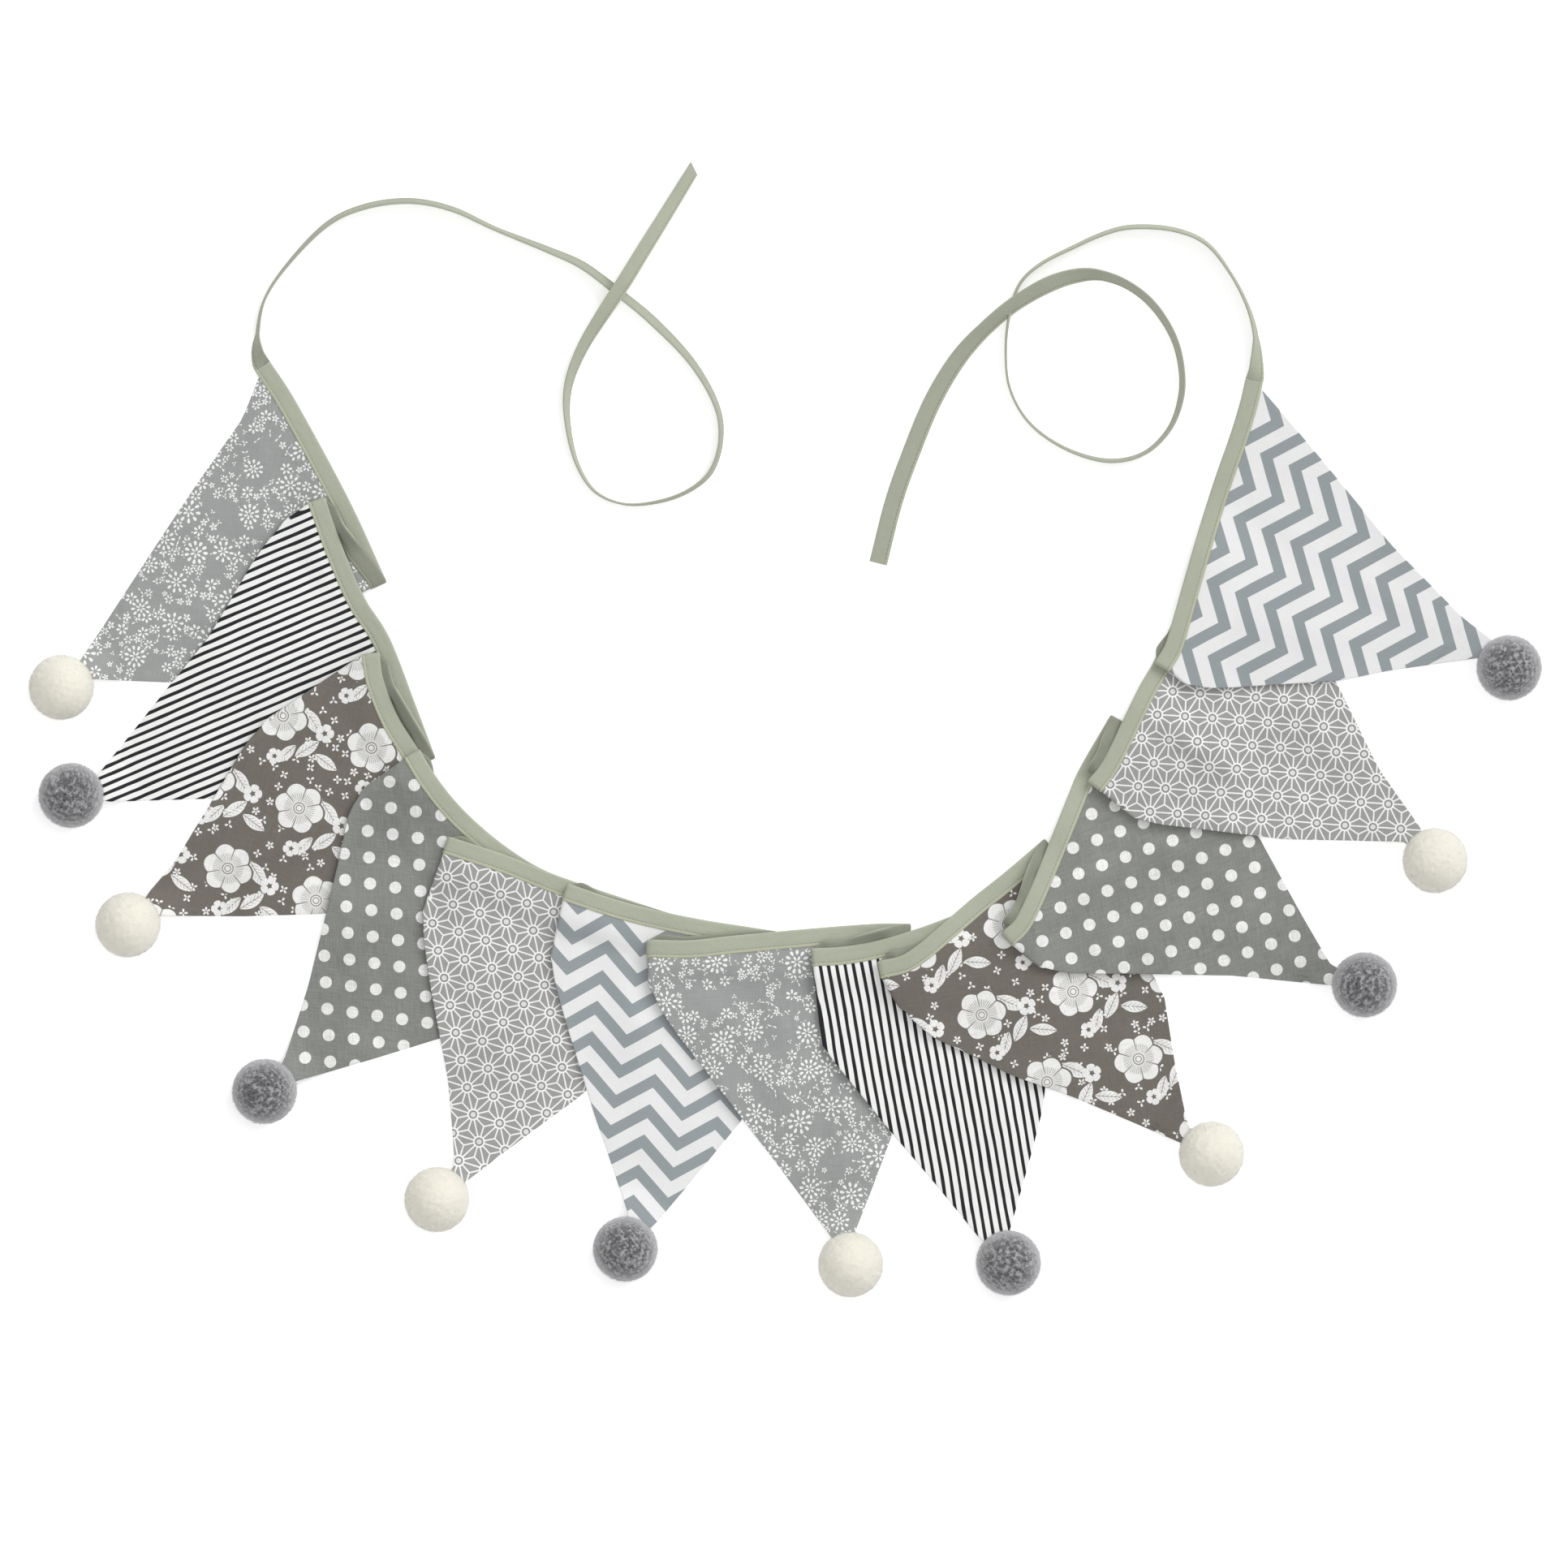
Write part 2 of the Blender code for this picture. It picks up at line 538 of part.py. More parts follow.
class PennantColumns:
    """The columns of one pennant: each has a frame in the binding and a way down the cloth."""

    def __init__(self, bunting, index):
        self.bunting = bunting
        self.index = index
        self.layer = 2 * index
        self.pennant = PENNANTS[index]
        self.width, self.under, self.over, self.flat = bunting.columns(index)
        middle = np.array(self.pennant.pompom)
        ends = (np.array(self.pennant.left[-1]) + np.array(self.pennant.right[-1])) / 2
        self.axis = unit(ends - middle)
        across = np.array([-self.axis[1], self.axis[0]])
        if np.dot(np.array(self.pennant.left[-1]) - ends, across) < 0:
            across = -across
        tip = middle + self.axis * TIP_REACH
        tip_half = across * TIP_HALF_WIDTH
        self.left = Side(self.pennant.left, self.pennant.left_folded, tip + tip_half)
        self.right = Side(self.pennant.right, self.pennant.right_folded, tip - tip_half)
        self.end = (self.left.drops[-1] + self.right.drops[-1]) / 2
        self.left.stretch(self.end)
        self.right.stretch(self.end)
        self.tall = self.end + TIP_HALF_WIDTH / HALF_WIDTH_PER_DROP

    def drop_at(self, flat):
        """How far down the cloth reaches in one column."""
        half = self.width / 2
        from_left = flat <= half
        edge = flat if from_left else self.width - flat
        flap = self.under if from_left else self.over
        fold_end = (self.left if from_left else self.right).fold_end
        if flap and edge < flap:
            return max(fold_end * edge / flap, SLOT_DEPTH + SHORTEST_DROP)
        share = (edge - flap) / (half - flap)
        return min(fold_end + (self.tall - fold_end) * share, self.end)

    def limits(self, drop):
        """Flat positions of the two sides between the folds at one drop."""
        half = self.width / 2
        found = []
        for side, flap in ((self.left, self.under), (self.right, self.over)):
            share = max(0.0, (drop - side.fold_end) / (self.tall - side.fold_end))
            found.append(flap + (half - flap) * share)
        return found[0], self.width - found[1]

    def cloth_height(self, layer, spot):
        """Height of the middle of the cloth, which also climbs to its pompom."""
        resting = CLOTH_THICK / 2 + self.bunting.pile(layer, spot)[0]
        along = float(np.dot(spot - np.array(self.pennant.pompom), self.axis))
        climbing = POMPOM_MIDDLE - math.tan(TIP_TILT) * along
        return max(resting, climbing) if along < TIP_CLIMB else resting

    def fold_radius(self, side, drop, below):
        return self.bunting.layers[below].lift(side.at(drop)[None, :])[0] / 2

    def main_spot(self, flat, drop):
        left = self.left.at(drop)
        right = self.right.at(drop)
        inward = unit(right - left)
        low, high = self.limits(drop)
        share = (flat - low) / max(high - low, 1e-6)
        if self.pennant.left_folded:
            held = 1.0 - smooth((drop - self.left.fold_end) / TAPE_WIDTH)
            left = left + inward * held * FOLD_RADIUS
        if self.pennant.right_folded:
            held = 1.0 - smooth((drop - self.right.fold_end) / TAPE_WIDTH)
            right = right - inward * held * FOLD_RADIUS
        return left + (right - left) * share

    def flap_spot(self, on_left, reach, drop):
        """A spot on a folded corner, at a reach inside its crease."""
        left = self.left.at(drop)
        right = self.right.at(drop)
        inward = unit(right - left)
        return left + inward * reach if on_left else right - inward * reach

    def column(self, frame, drops, spot_at, height_at):
        """Points and normals down one column, from the slot in the binding."""
        points = []
        inner = frame.place + frame.down * (TAPE_WIDTH / 2 - SLOT_DEPTH + END_GAP)
        outer = frame.place + frame.down * (TAPE_WIDTH / 2)
        points.append(inner)
        points.append(outer)
        start = np.array(outer[:2])
        shift = start - spot_at(SLOT_DEPTH)
        for drop in drops[1:]:
            past = drop - SLOT_DEPTH
            spot = spot_at(drop) + shift * (1.0 - smooth(past / LINE_UP))
            settled = smooth(past / TAPE_SETTLE)
            height = height_at(spot, drop) * settled + outer.z * (1.0 - settled)
            points.append(Vector((*spot, height)))
        return points

    def drops_of(self, flat):
        reach = self.drop_at(flat)
        return [SLOT_DEPTH + share * (reach - SLOT_DEPTH) for share in ROWS]

    def build(self):
        """All columns in order, each with the frame that it has in the binding."""
        bunting = self.bunting
        run = bunting.runs[self.index]
        pennant = self.pennant
        arc = math.pi * FOLD_RADIUS
        frames = []
        columns = []
        if pennant.left_folded:
            back = bunting.returns[self.index - 1]
            free = self.under - arc - CORNER_CUT
            for share in flap_shares(free)[::-1]:
                reach = FOLD_RADIUS + share * free
                frame = bunting.level(back, self.layer - 1, back.length - reach, flipped=True)
                flat = self.under - arc - share * free
                columns.append(self.flap_column(frame, flat, True, reach))
                frames.append(frame)
            frame = bunting.level(back, self.layer - 1, back.length - FOLD_RADIUS, flipped=True)
            columns.append(self.flap_column(frame, self.under - arc, True, FOLD_RADIUS))
            frames.append(frame)
            turn = bunting.fold(back, self.layer - 1, flipped=True)
            for angle, frame in zip(FOLD_ANGLES, turn):
                flat = self.under - arc + FOLD_RADIUS * angle
                columns.append(self.turn_column(frame, flat, True, angle))
                frames.append(frame)
        offset = self.flat[0] - (FOLD_RADIUS if pennant.left_folded else CORNER_CUT)
        for flat in self.flat:
            frame = bunting.level(run, self.layer, flat - offset)
            columns.append(self.column(
                frame, self.drops_of(flat),
                lambda drop, flat=flat: self.main_spot(flat, drop),
                lambda spot, drop: self.cloth_height(self.layer, spot)))
            frames.append(frame)
        if pennant.right_folded:
            back = bunting.returns[self.index]
            free = self.over - arc - CORNER_CUT
            turn = bunting.fold(run, self.layer, flipped=False)
            for angle, frame in zip(FOLD_ANGLES, turn):
                flat = self.width - self.over + FOLD_RADIUS * angle
                columns.append(self.turn_column(frame, flat, False, angle))
                frames.append(frame)
            for share in [0.0] + flap_shares(free):
                reach = FOLD_RADIUS + share * free
                frame = bunting.level(back, self.layer + 1, reach, flipped=True)
                flat = self.width - self.over + arc + share * free
                columns.append(self.flap_column(frame, flat, False, reach))
                frames.append(frame)
        return frames, columns

    def flap_column(self, frame, flat, on_left, reach):
        layer = self.layer - 1 if on_left else self.layer + 1
        return self.column(
            frame, self.drops_of(flat),
            lambda drop: self.flap_spot(on_left, reach, drop),
            lambda spot, drop: CLOTH_THICK / 2 + self.bunting.pile(layer, spot)[0])

    def turn_column(self, frame, flat, on_left, angle):
        """A column in the half turn between the cloth and its folded corner."""
        below = self.layer - 1 if on_left else self.layer
        side = self.left if on_left else self.right

        def spot_at(drop):
            radius = self.fold_radius(side, drop, below)
            return self.flap_spot(on_left, radius * (1.0 - math.sin(angle)), drop)

        def height_at(_spot, drop):
            radius = self.fold_radius(side, drop, below)
            bottom = CLOTH_THICK / 2 + self.bunting.pile(below, side.at(drop))[0]
            return bottom + radius * (1.0 - math.cos(angle))

        return self.column(frame, self.drops_of(flat), spot_at, height_at)


def grid_normals(columns):
    """The upward normal of a sheet at each point of its grid of columns."""
    bm = bmesh.new()
    grid = [[bm.verts.new(point) for point in column] for column in columns]
    for left, right in zip(grid[:-1], grid[1:]):
        for row in range(len(left) - 1):
            bm.faces.new((left[row], left[row + 1], right[row + 1], right[row]))
    bm.normal_update()
    normals = [[vert.normal.copy() for vert in column] for column in grid]
    bm.free()
    return normals


def thick_sheet(name, columns, frames, material):
    """A closed sheet on a grid of columns, thickened to both sides."""
    depth = len(columns[0])
    normals = grid_normals(columns)
    sides = []
    bm = bmesh.new()
    for index, column in enumerate(columns):
        pairs = []
        for row, point in enumerate(column):
            normal = frames[index].normal if row < ROWS_IN_BINDING else normals[index][row]
            half = normal * CLOTH_THICK / 2
            pairs.append((bm.verts.new(point + half), bm.verts.new(point - half)))
        sides.append(pairs)
    for left, right in zip(sides[:-1], sides[1:]):
        for row in range(depth - 1):
            bm.faces.new([left[row][0], left[row + 1][0], right[row + 1][0], right[row][0]])
            bm.faces.new([left[row][1], right[row][1], right[row + 1][1], left[row + 1][1]])
        bm.faces.new([left[0][0], right[0][0], right[0][1], left[0][1]])
        bm.faces.new([left[-1][0], left[-1][1], right[-1][1], right[-1][0]])
    for pairs in (sides[0], sides[-1]):
        for row in range(depth - 1):
            bm.faces.new([pairs[row][0], pairs[row][1], pairs[row + 1][1], pairs[row + 1][0]])
    return make_object(name, bm, material)


def make_pompom(name, middle, axis, seed, material):
    """A ball of yarn locks: each stands apart from the others on a small core."""
    random = np.random.default_rng(seed)
    bm = bmesh.new()
    bmesh.ops.create_cube(bm, size=1.0)
    bmesh.ops.subdivide_edges(bm, edges=bm.edges[:], cuts=1, use_grid_fill=True)
    for vert in bm.verts:
        vert.co = vert.co.normalized() * CORE_RADIUS
    roots = bm.faces[:]
    bmesh.ops.inset_individual(bm, faces=roots, thickness=LOCK_GAP, use_even_offset=True)
    locks = bmesh.ops.extrude_discrete_faces(bm, faces=roots)["faces"]
    for lock in locks:
        length = POMPOM_RADIUS - random.uniform(0.0, LOCK_UNEVEN)
        for vert in lock.verts:
            vert.co = vert.co.normalized() * length
    toward = Vector((axis[0], axis[1], 0.0))
    dip = toward * math.cos(TIP_TILT) - Vector((0, 0, 1)) * math.sin(TIP_TILT)
    side = dip.cross(Vector((0, 0, 1))).normalized()
    top = side.cross(dip)
    turn = Matrix((dip, -side, top)).transposed()
    spin = Matrix.Rotation(random.uniform(*SPIN), 3, "Z")
    for vert in bm.verts:
        vert.co = turn @ spin @ vert.co + Vector((*middle, POMPOM_MIDDLE))
        vert.co.z = max(vert.co.z, 0.0)
    make_object(name, bm, material)


def tie_frames(points, start_frame, outward, down_side):
    """Rings along a tie, from the end of the binding to its free end."""
    first = start_frame.place + outward * END_GAP
    rows = [(first.x, first.y, 0.0, TAPE_THICK / 2 - TIE_THICK / 2)]
    rows += [tuple(point) for point in points]
    line = Path([row[:2] for row in rows])
    knots = [line.lengths[index * Path.SPAN_STEPS] for index in range(len(rows))]
    tilt = [math.radians(row[2]) for row in rows]
    lift = [row[3] for row in rows]
    count = round(line.length / TIE_RING_STEP)
    frames = []
    for length in np.linspace(0.0, line.length, count + 1):
        place = line.at(length)
        heading = line.heading(length) if length else np.array(outward[:2])
        angle = np.interp(length, knots, tilt)
        flat = side_down(heading) * down_side
        down = Vector((*(flat * math.cos(angle)), -math.sin(angle)))
        along = Vector((*heading, 0.0))
        height = (TAPE_WIDTH / 2 * math.sin(angle) + TIE_THICK / 2 * math.cos(angle)
                  + np.interp(length, knots, lift))
        frames.append(Frame(Vector((*place, height)), down, down.cross(along).normalized()))
    return frames


def main():
    for thing in list(bpy.data.objects):
        bpy.data.objects.remove(thing)
    bunting = Bunting()
    sage = make_material("sage_binding", SAGE)
    run_start = bunting.level(bunting.runs[0], 0, 0.0)
    frames = [run_start]
    for index, pennant in enumerate(PENNANTS):
        print_name = PRINT_ORDER[index % len(PRINT_ORDER)]
        cloth = PennantColumns(bunting, index)
        columns_frames, columns = cloth.build()
        if index:
            frames.append(bunting.middle_of_return(frames[-1], index - 1, columns_frames[0]))
        frames += columns_frames
        label = f"{index + 1:02d}"
        cotton = make_material(f"cotton_{print_name}_{label}", FABRICS[print_name])
        thick_sheet(f"pennant_{label}", columns, columns_frames, cotton)
        yarn = WHITE_YARN if index % 2 == 0 else GREY_YARN
        make_pompom(f"pompom_{label}", pennant.pompom, cloth.axis, index,
                    make_material(f"yarn_{label}", yarn))
    last_run = bunting.runs[-1]
    run_end = bunting.level(last_run, 2 * (len(PENNANTS) - 1), last_run.length)
    frames.append(run_end)
    sweep("binding", frames, binding_profile(), sage)

    back = Vector((*-bunting.runs[0].heading(0.0), 0.0))
    left = tie_frames(LEFT_TIE, run_start, back, -1)
    sweep("tie_left", left, tape_profile(TIE_THICK), make_material("sage_tie_left", SAGE))
    onward = Vector((*last_run.heading(last_run.length), 0.0))
    right = tie_frames(RIGHT_TIE, run_end, onward, 1)
    sweep("tie_right", right, tape_profile(TIE_THICK), make_material("sage_tie_right", SAGE))


main()
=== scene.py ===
"""Fabric bunting: the printed cottons, folded binding, ties and yarn pompoms of the model's look.

The cloth, the binding and the ties lie as their solids do, worked out from the same tables on a
finer grid.  Lengths are in metres.
"""

import json
import math
from collections import namedtuple

import bmesh
import bpy
import numpy as np
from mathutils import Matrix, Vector

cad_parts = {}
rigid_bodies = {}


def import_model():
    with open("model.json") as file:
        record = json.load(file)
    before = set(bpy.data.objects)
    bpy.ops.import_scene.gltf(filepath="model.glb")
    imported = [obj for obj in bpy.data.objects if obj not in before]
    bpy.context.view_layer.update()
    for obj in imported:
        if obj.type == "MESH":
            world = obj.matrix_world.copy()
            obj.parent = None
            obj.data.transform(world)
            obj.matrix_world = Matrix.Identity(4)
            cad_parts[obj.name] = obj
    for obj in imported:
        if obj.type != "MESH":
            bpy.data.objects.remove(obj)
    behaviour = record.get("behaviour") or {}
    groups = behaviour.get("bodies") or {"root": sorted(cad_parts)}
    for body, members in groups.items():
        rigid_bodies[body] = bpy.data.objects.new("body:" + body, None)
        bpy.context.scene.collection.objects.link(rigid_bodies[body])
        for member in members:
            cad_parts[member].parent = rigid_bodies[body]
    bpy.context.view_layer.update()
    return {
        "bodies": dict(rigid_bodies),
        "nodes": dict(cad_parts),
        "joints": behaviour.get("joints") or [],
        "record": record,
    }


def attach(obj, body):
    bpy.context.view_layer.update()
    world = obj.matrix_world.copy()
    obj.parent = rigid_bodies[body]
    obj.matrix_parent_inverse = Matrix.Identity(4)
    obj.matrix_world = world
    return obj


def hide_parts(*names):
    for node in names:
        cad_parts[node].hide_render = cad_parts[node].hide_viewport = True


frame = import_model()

bl_info = {
    "name": "Fabric bunting",
    "version": (1, 0, 0),
    "blender": (4, 5, 0),
    "location": "View3D > Sidebar > Bunting",
    "description": "Dresses the bunting's solids with printed cotton, bias binding and yarn",
    "category": "Object",
}

# The origin in the plan of the tables: the middle of the bunting without its ties
ORIGIN = np.array((0.00046, 0.00388, 0.0))

# Binding and ties, as in the solids
TAPE_WIDTH = 0.011
TAPE_THICK = 0.0024
SLOT_DEPTH = 0.008
SLOT_THICK = 0.0016
TIE_THICK = 0.0014
END_GAP = 0.0003

# Pennants, as in the solids
HALF_WIDTH_PER_DROP = 0.466
CORNER_CUT = 0.0045
TIP_REACH = 0.0125
TIP_HALF_WIDTH = 0.0045
SHORTEST_DROP = 0.0015

# Lying in layers, as in the solids
TAPE_STEP = 0.0034
CLOTH_STEP = 0.0022
LEVEL_MARGIN = 0.007
SETTLE = 0.040
TAPE_SETTLE = 0.020
LINE_UP = 0.080
TIP_CLIMB = 0.080
TIP_TILT = math.radians(25.0)
FOLD_RADIUS = TAPE_STEP / 2
RETURN_PULL = 0.16
RETURN_STEPS = 25
HEADING_REACH = 0.004
STEADY_END = 0.006

# Pleats: a return that shows beside the next run stands partly on its sewn edge
PLEAT_TILT = math.radians(56.0)
PLEAT_BULGE = 0.0030
PLEAT_BULGE_AT = 0.008
PLEAT_CLEAR = 0.0035
PLEAT_FULL = 0.0065
PLEAT_START = 0.020

# The finer grid
FOLD_ANGLES = [math.radians(angle) for angle in (30, 60, 90, 120, 150)]
ROWS_IN_SLOT = 3
EDGE_ROWS = np.array([0.0040, 0.0022, 0.0011, 0.0004, 0.0])   # cloth left below each, to the hem
HEM_ROUNDING = 0.0016
HEM_THIN = 0.25
SHARP_EDGE = math.radians(50)
TINY = 1e-12                    # keeps a division off zero

# Unevenness of the cloth
HIDE_MARGIN = 0.004             # cloth stays flat this far beside what lies on it
HIDE_FADE = 0.012               # and its creases come up over this much more
CREASE_RUN_OUT = 0.15           # of a crease's length, past each end
CREASE_FADE = 0.4               # of its length, from nothing to its full height
RIPPLE_WAVES = 9
RIPPLE_LENGTHS = (0.022, 0.070)
RIPPLE_SPREAD = 12              # how far apart sums of the waves are at heights 0 and 1

# Outline and stitches of the tape.  A share is of half its thickness.
CROWN_STEPS = 9
LIP_SHARE = 0.35
GROOVE_SHARE = 0.10
SEAM_DEEPEST = 1.4              # grooves deep, right under the thread
SEAM_HALF = 0.0009
SEAM_PINCH = 0.0004
LIP_BEVEL = 0.0002
STITCH_SHARE = 0.76             # where the middle of the thread lies

# Pompoms.  Reaches and depths are shares of the radius.
POMPOM_RADIUS = 0.020
POMPOM_MIDDLE = 0.0178
HEART_REACH = 0.990             # on a tuft
HEART_GRAIN = 0.012             # unevenness both ways
TUFT_DEPTH = 0.024              # from a tuft down to a parting
TUFT_WAVES = 14
TUFT_FREQUENCY = (26.0, 60.0)   # waves' turn in radians for each radius along the ball
TUFT_CONTRAST = 1.6
HEART_PILE = 0.62               # where the heart comes on the strands, from root 0 to tip 1
STRAND_REACH = (1.0, 1.06)
STRAND_FOOT = 0.85
STRAND_LEAN = 0.24
STRAND_STRAY = 0.9              # of the even distance between two strands
FLOOR_GAP = 0.0002
SEED_RANGE = 1000000

# One row for each pennant, in plan.  run is the binding's middle line from its
# left fold to its right fold.  left and right are the cloth's two sides from the
# binding to the tip; where a side is folded, its first stretch is the crease.
Pennant = namedtuple("Pennant", "left_folded right_folded pompom run left right")
PENNANTS = [
    Pennant(
        False, True, (-0.4447, 0.0905),
        run=[(-0.3212, 0.2880), (-0.3048, 0.2625), (-0.2727, 0.2030), (-0.2502, 0.1540)],
        left=[(-0.3227, 0.2850), (-0.3342, 0.2575), (-0.3832, 0.1840), (-0.4338, 0.1065)],
        right=[(-0.2547, 0.1510), (-0.3307, 0.1125), (-0.3777, 0.0935), (-0.4253, 0.0955)]),
    Pennant(
        True, True, (-0.4387, 0.0240),
        run=[(-0.2878, 0.2050), (-0.2767, 0.1740), (-0.2632, 0.1430), (-0.2482, 0.1190),
             (-0.2323, 0.0780), (-0.2203, 0.0460)],
        left=[(-0.2923, 0.2025), (-0.3108, 0.1900), (-0.3282, 0.1655), (-0.3553, 0.1205),
              (-0.3837, 0.0855), (-0.4228, 0.0365)],
        right=[(-0.2253, 0.0440), (-0.2452, 0.0360), (-0.2933, 0.0260), (-0.3523, 0.0220),
               (-0.4183, 0.0200)]),
    Pennant(
        True, True, (-0.4037, -0.0555),
        run=[(-0.2547, 0.1105), (-0.2517, 0.0930), (-0.2422, 0.0690), (-0.2293, 0.0480),
             (-0.2157, 0.0175), (-0.2047, -0.0075)],
        left=[(-0.2597, 0.1080), (-0.3227, 0.0680), (-0.3322, 0.0550), (-0.3523, 0.0210),
              (-0.3752, -0.0165), (-0.3932, -0.0380)],
        right=[(-0.2097, -0.0095), (-0.2682, -0.0470), (-0.2828, -0.0490),
               (-0.3332, -0.0505), (-0.3837, -0.0500)]),
    Pennant(
        True, True, (-0.3197, -0.1580),
        run=[(-0.2288, 0.0490), (-0.2198, 0.0340), (-0.2067, 0.0170), (-0.1918, 0.0020),
             (-0.1732, -0.0130), (-0.1532, -0.0255), (-0.1293, -0.0355)],
        left=[(-0.2328, 0.0465), (-0.2622, 0.0255), (-0.2677, 0.0125), (-0.2818, -0.0470),
              (-0.2933, -0.0935), (-0.3078, -0.1385)],
        right=[(-0.1313, -0.0405), (-0.1598, -0.1145), (-0.2132, -0.1260),
               (-0.2537, -0.1385), (-0.3003, -0.1520)]),
    Pennant(
        True, True, (-0.2137, -0.2245),
        run=[(-0.2077, -0.0065), (-0.1732, -0.0180), (-0.1457, -0.0290), (-0.1172, -0.0390),
             (-0.0932, -0.0470), (-0.0717, -0.0540)],
        left=[(-0.2092, -0.0125), (-0.2238, -0.0520), (-0.2182, -0.0935),
              (-0.2072, -0.1510), (-0.2028, -0.2030)],
        right=[(-0.0732, -0.0590), (-0.0887, -0.1060), (-0.1232, -0.1595),
               (-0.1608, -0.1870), (-0.1963, -0.2140)]),
    Pennant(
        True, True, (-0.0978, -0.2550),
        run=[(-0.1343, -0.0355), (-0.1047, -0.0455), (-0.0757, -0.0530), (-0.0483, -0.0585),
             (-0.0257, -0.0620), (-0.0067, -0.0650)],
        left=[(-0.1363, -0.0405), (-0.1447, -0.0790), (-0.1338, -0.1185),
              (-0.1172, -0.1720), (-0.0958, -0.2345)],
        right=[(-0.0077, -0.0705), (-0.0182, -0.1585), (-0.0253, -0.1750),
               (-0.0587, -0.2155), (-0.0808, -0.2415)]),
    Pennant(
        True, True, (0.0408, -0.2645),
        run=[(-0.0838, -0.0700), (-0.0583, -0.0705), (-0.0333, -0.0680), (0.0168, -0.0635),
             (0.0568, -0.0605), (0.0767, -0.0605)],
        left=[(-0.0843, -0.0755), (-0.0833, -0.0970), (-0.0678, -0.1205),
              (-0.0333, -0.1655), (-0.0057, -0.2015), (0.0262, -0.2445)],
        right=[(0.0767, -0.0660), (0.0772, -0.0905), (0.0697, -0.1460), (0.0658, -0.1870),
               (0.0532, -0.2205), (0.0442, -0.2430)]),
    Pennant(
        True, True, (0.1378, -0.2635),
        run=[(0.0177, -0.0755), (0.0367, -0.0745), (0.0568, -0.0710), (0.0767, -0.0655),
             (0.0968, -0.0585), (0.1308, -0.0455)],
        left=[(0.0182, -0.0815), (0.0238, -0.1330), (0.0323, -0.1420), (0.0633, -0.1805),
              (0.0927, -0.2150), (0.1212, -0.2500)],
        right=[(0.1328, -0.0505), (0.1628, -0.1360), (0.1593, -0.1685), (0.1527, -0.1950),
               (0.1457, -0.2200), (0.1388, -0.2435)]),
    Pennant(
        True, True, (0.2627, -0.1965),
        run=[(0.0592, -0.0830), (0.0742, -0.0795), (0.0877, -0.0705), (0.1017, -0.0585),
             (0.1192, -0.0435), (0.1393, -0.0275), (0.1628, -0.0075)],
        left=[(0.0607, -0.0880), (0.0727, -0.1090), (0.0932, -0.1245), (0.1388, -0.1480),
              (0.1797, -0.1625), (0.2442, -0.1900)],
        right=[(0.1663, -0.0115), (0.2188, -0.0725), (0.2338, -0.0985), (0.2402, -0.1390),
               (0.2482, -0.1790)]),
    Pennant(
        True, True, (0.3568, -0.0925),
        run=[(0.1373, -0.0640), (0.1457, -0.0560), (0.1537, -0.0405), (0.1668, -0.0100),
             (0.1802, 0.0230), (0.1872, 0.0390), (0.2052, 0.0700)],
        left=[(0.1412, -0.0675), (0.1598, -0.0830), (0.1933, -0.0855), (0.2757, -0.0870),
              (0.3367, -0.0930)],
        right=[(0.2097, 0.0670), (0.2442, 0.0465), (0.2818, 0.0140), (0.2928, -0.0025),
               (0.3172, -0.0470), (0.3367, -0.0810)]),
    Pennant(
        True, True, (0.4002, -0.0160),
        run=[(0.1913, 0.0300), (0.1993, 0.0405), (0.2077, 0.0565), (0.2228, 0.0875),
             (0.2318, 0.1030), (0.2442, 0.1290), (0.2557, 0.1560)],
        left=[(0.1958, 0.0265), (0.2182, 0.0080), (0.2662, 0.0020), (0.3078, -0.0030),
              (0.3807, -0.0045)],
        right=[(0.2607, 0.1540), (0.3123, 0.1320), (0.3407, 0.0925), (0.3658, 0.0410),
               (0.3907, 0.0055)]),
    Pennant(
        True, False, (0.4457, 0.1025),
        run=[(0.2328, 0.1035), (0.2397, 0.1155), (0.2452, 0.1340), (0.2567, 0.1740),
             (0.2692, 0.2140), (0.2797, 0.2440), (0.2858, 0.2640), (0.2893, 0.2790)],
        left=[(0.2357, 0.1000), (0.2472, 0.0900), (0.2747, 0.0905), (0.3417, 0.0945),
              (0.3703, 0.1005), (0.4263, 0.1085)],
        right=[(0.2928, 0.2775), (0.3302, 0.2320), (0.3733, 0.1790), (0.4183, 0.1330),
               (0.4373, 0.1185)]),
]

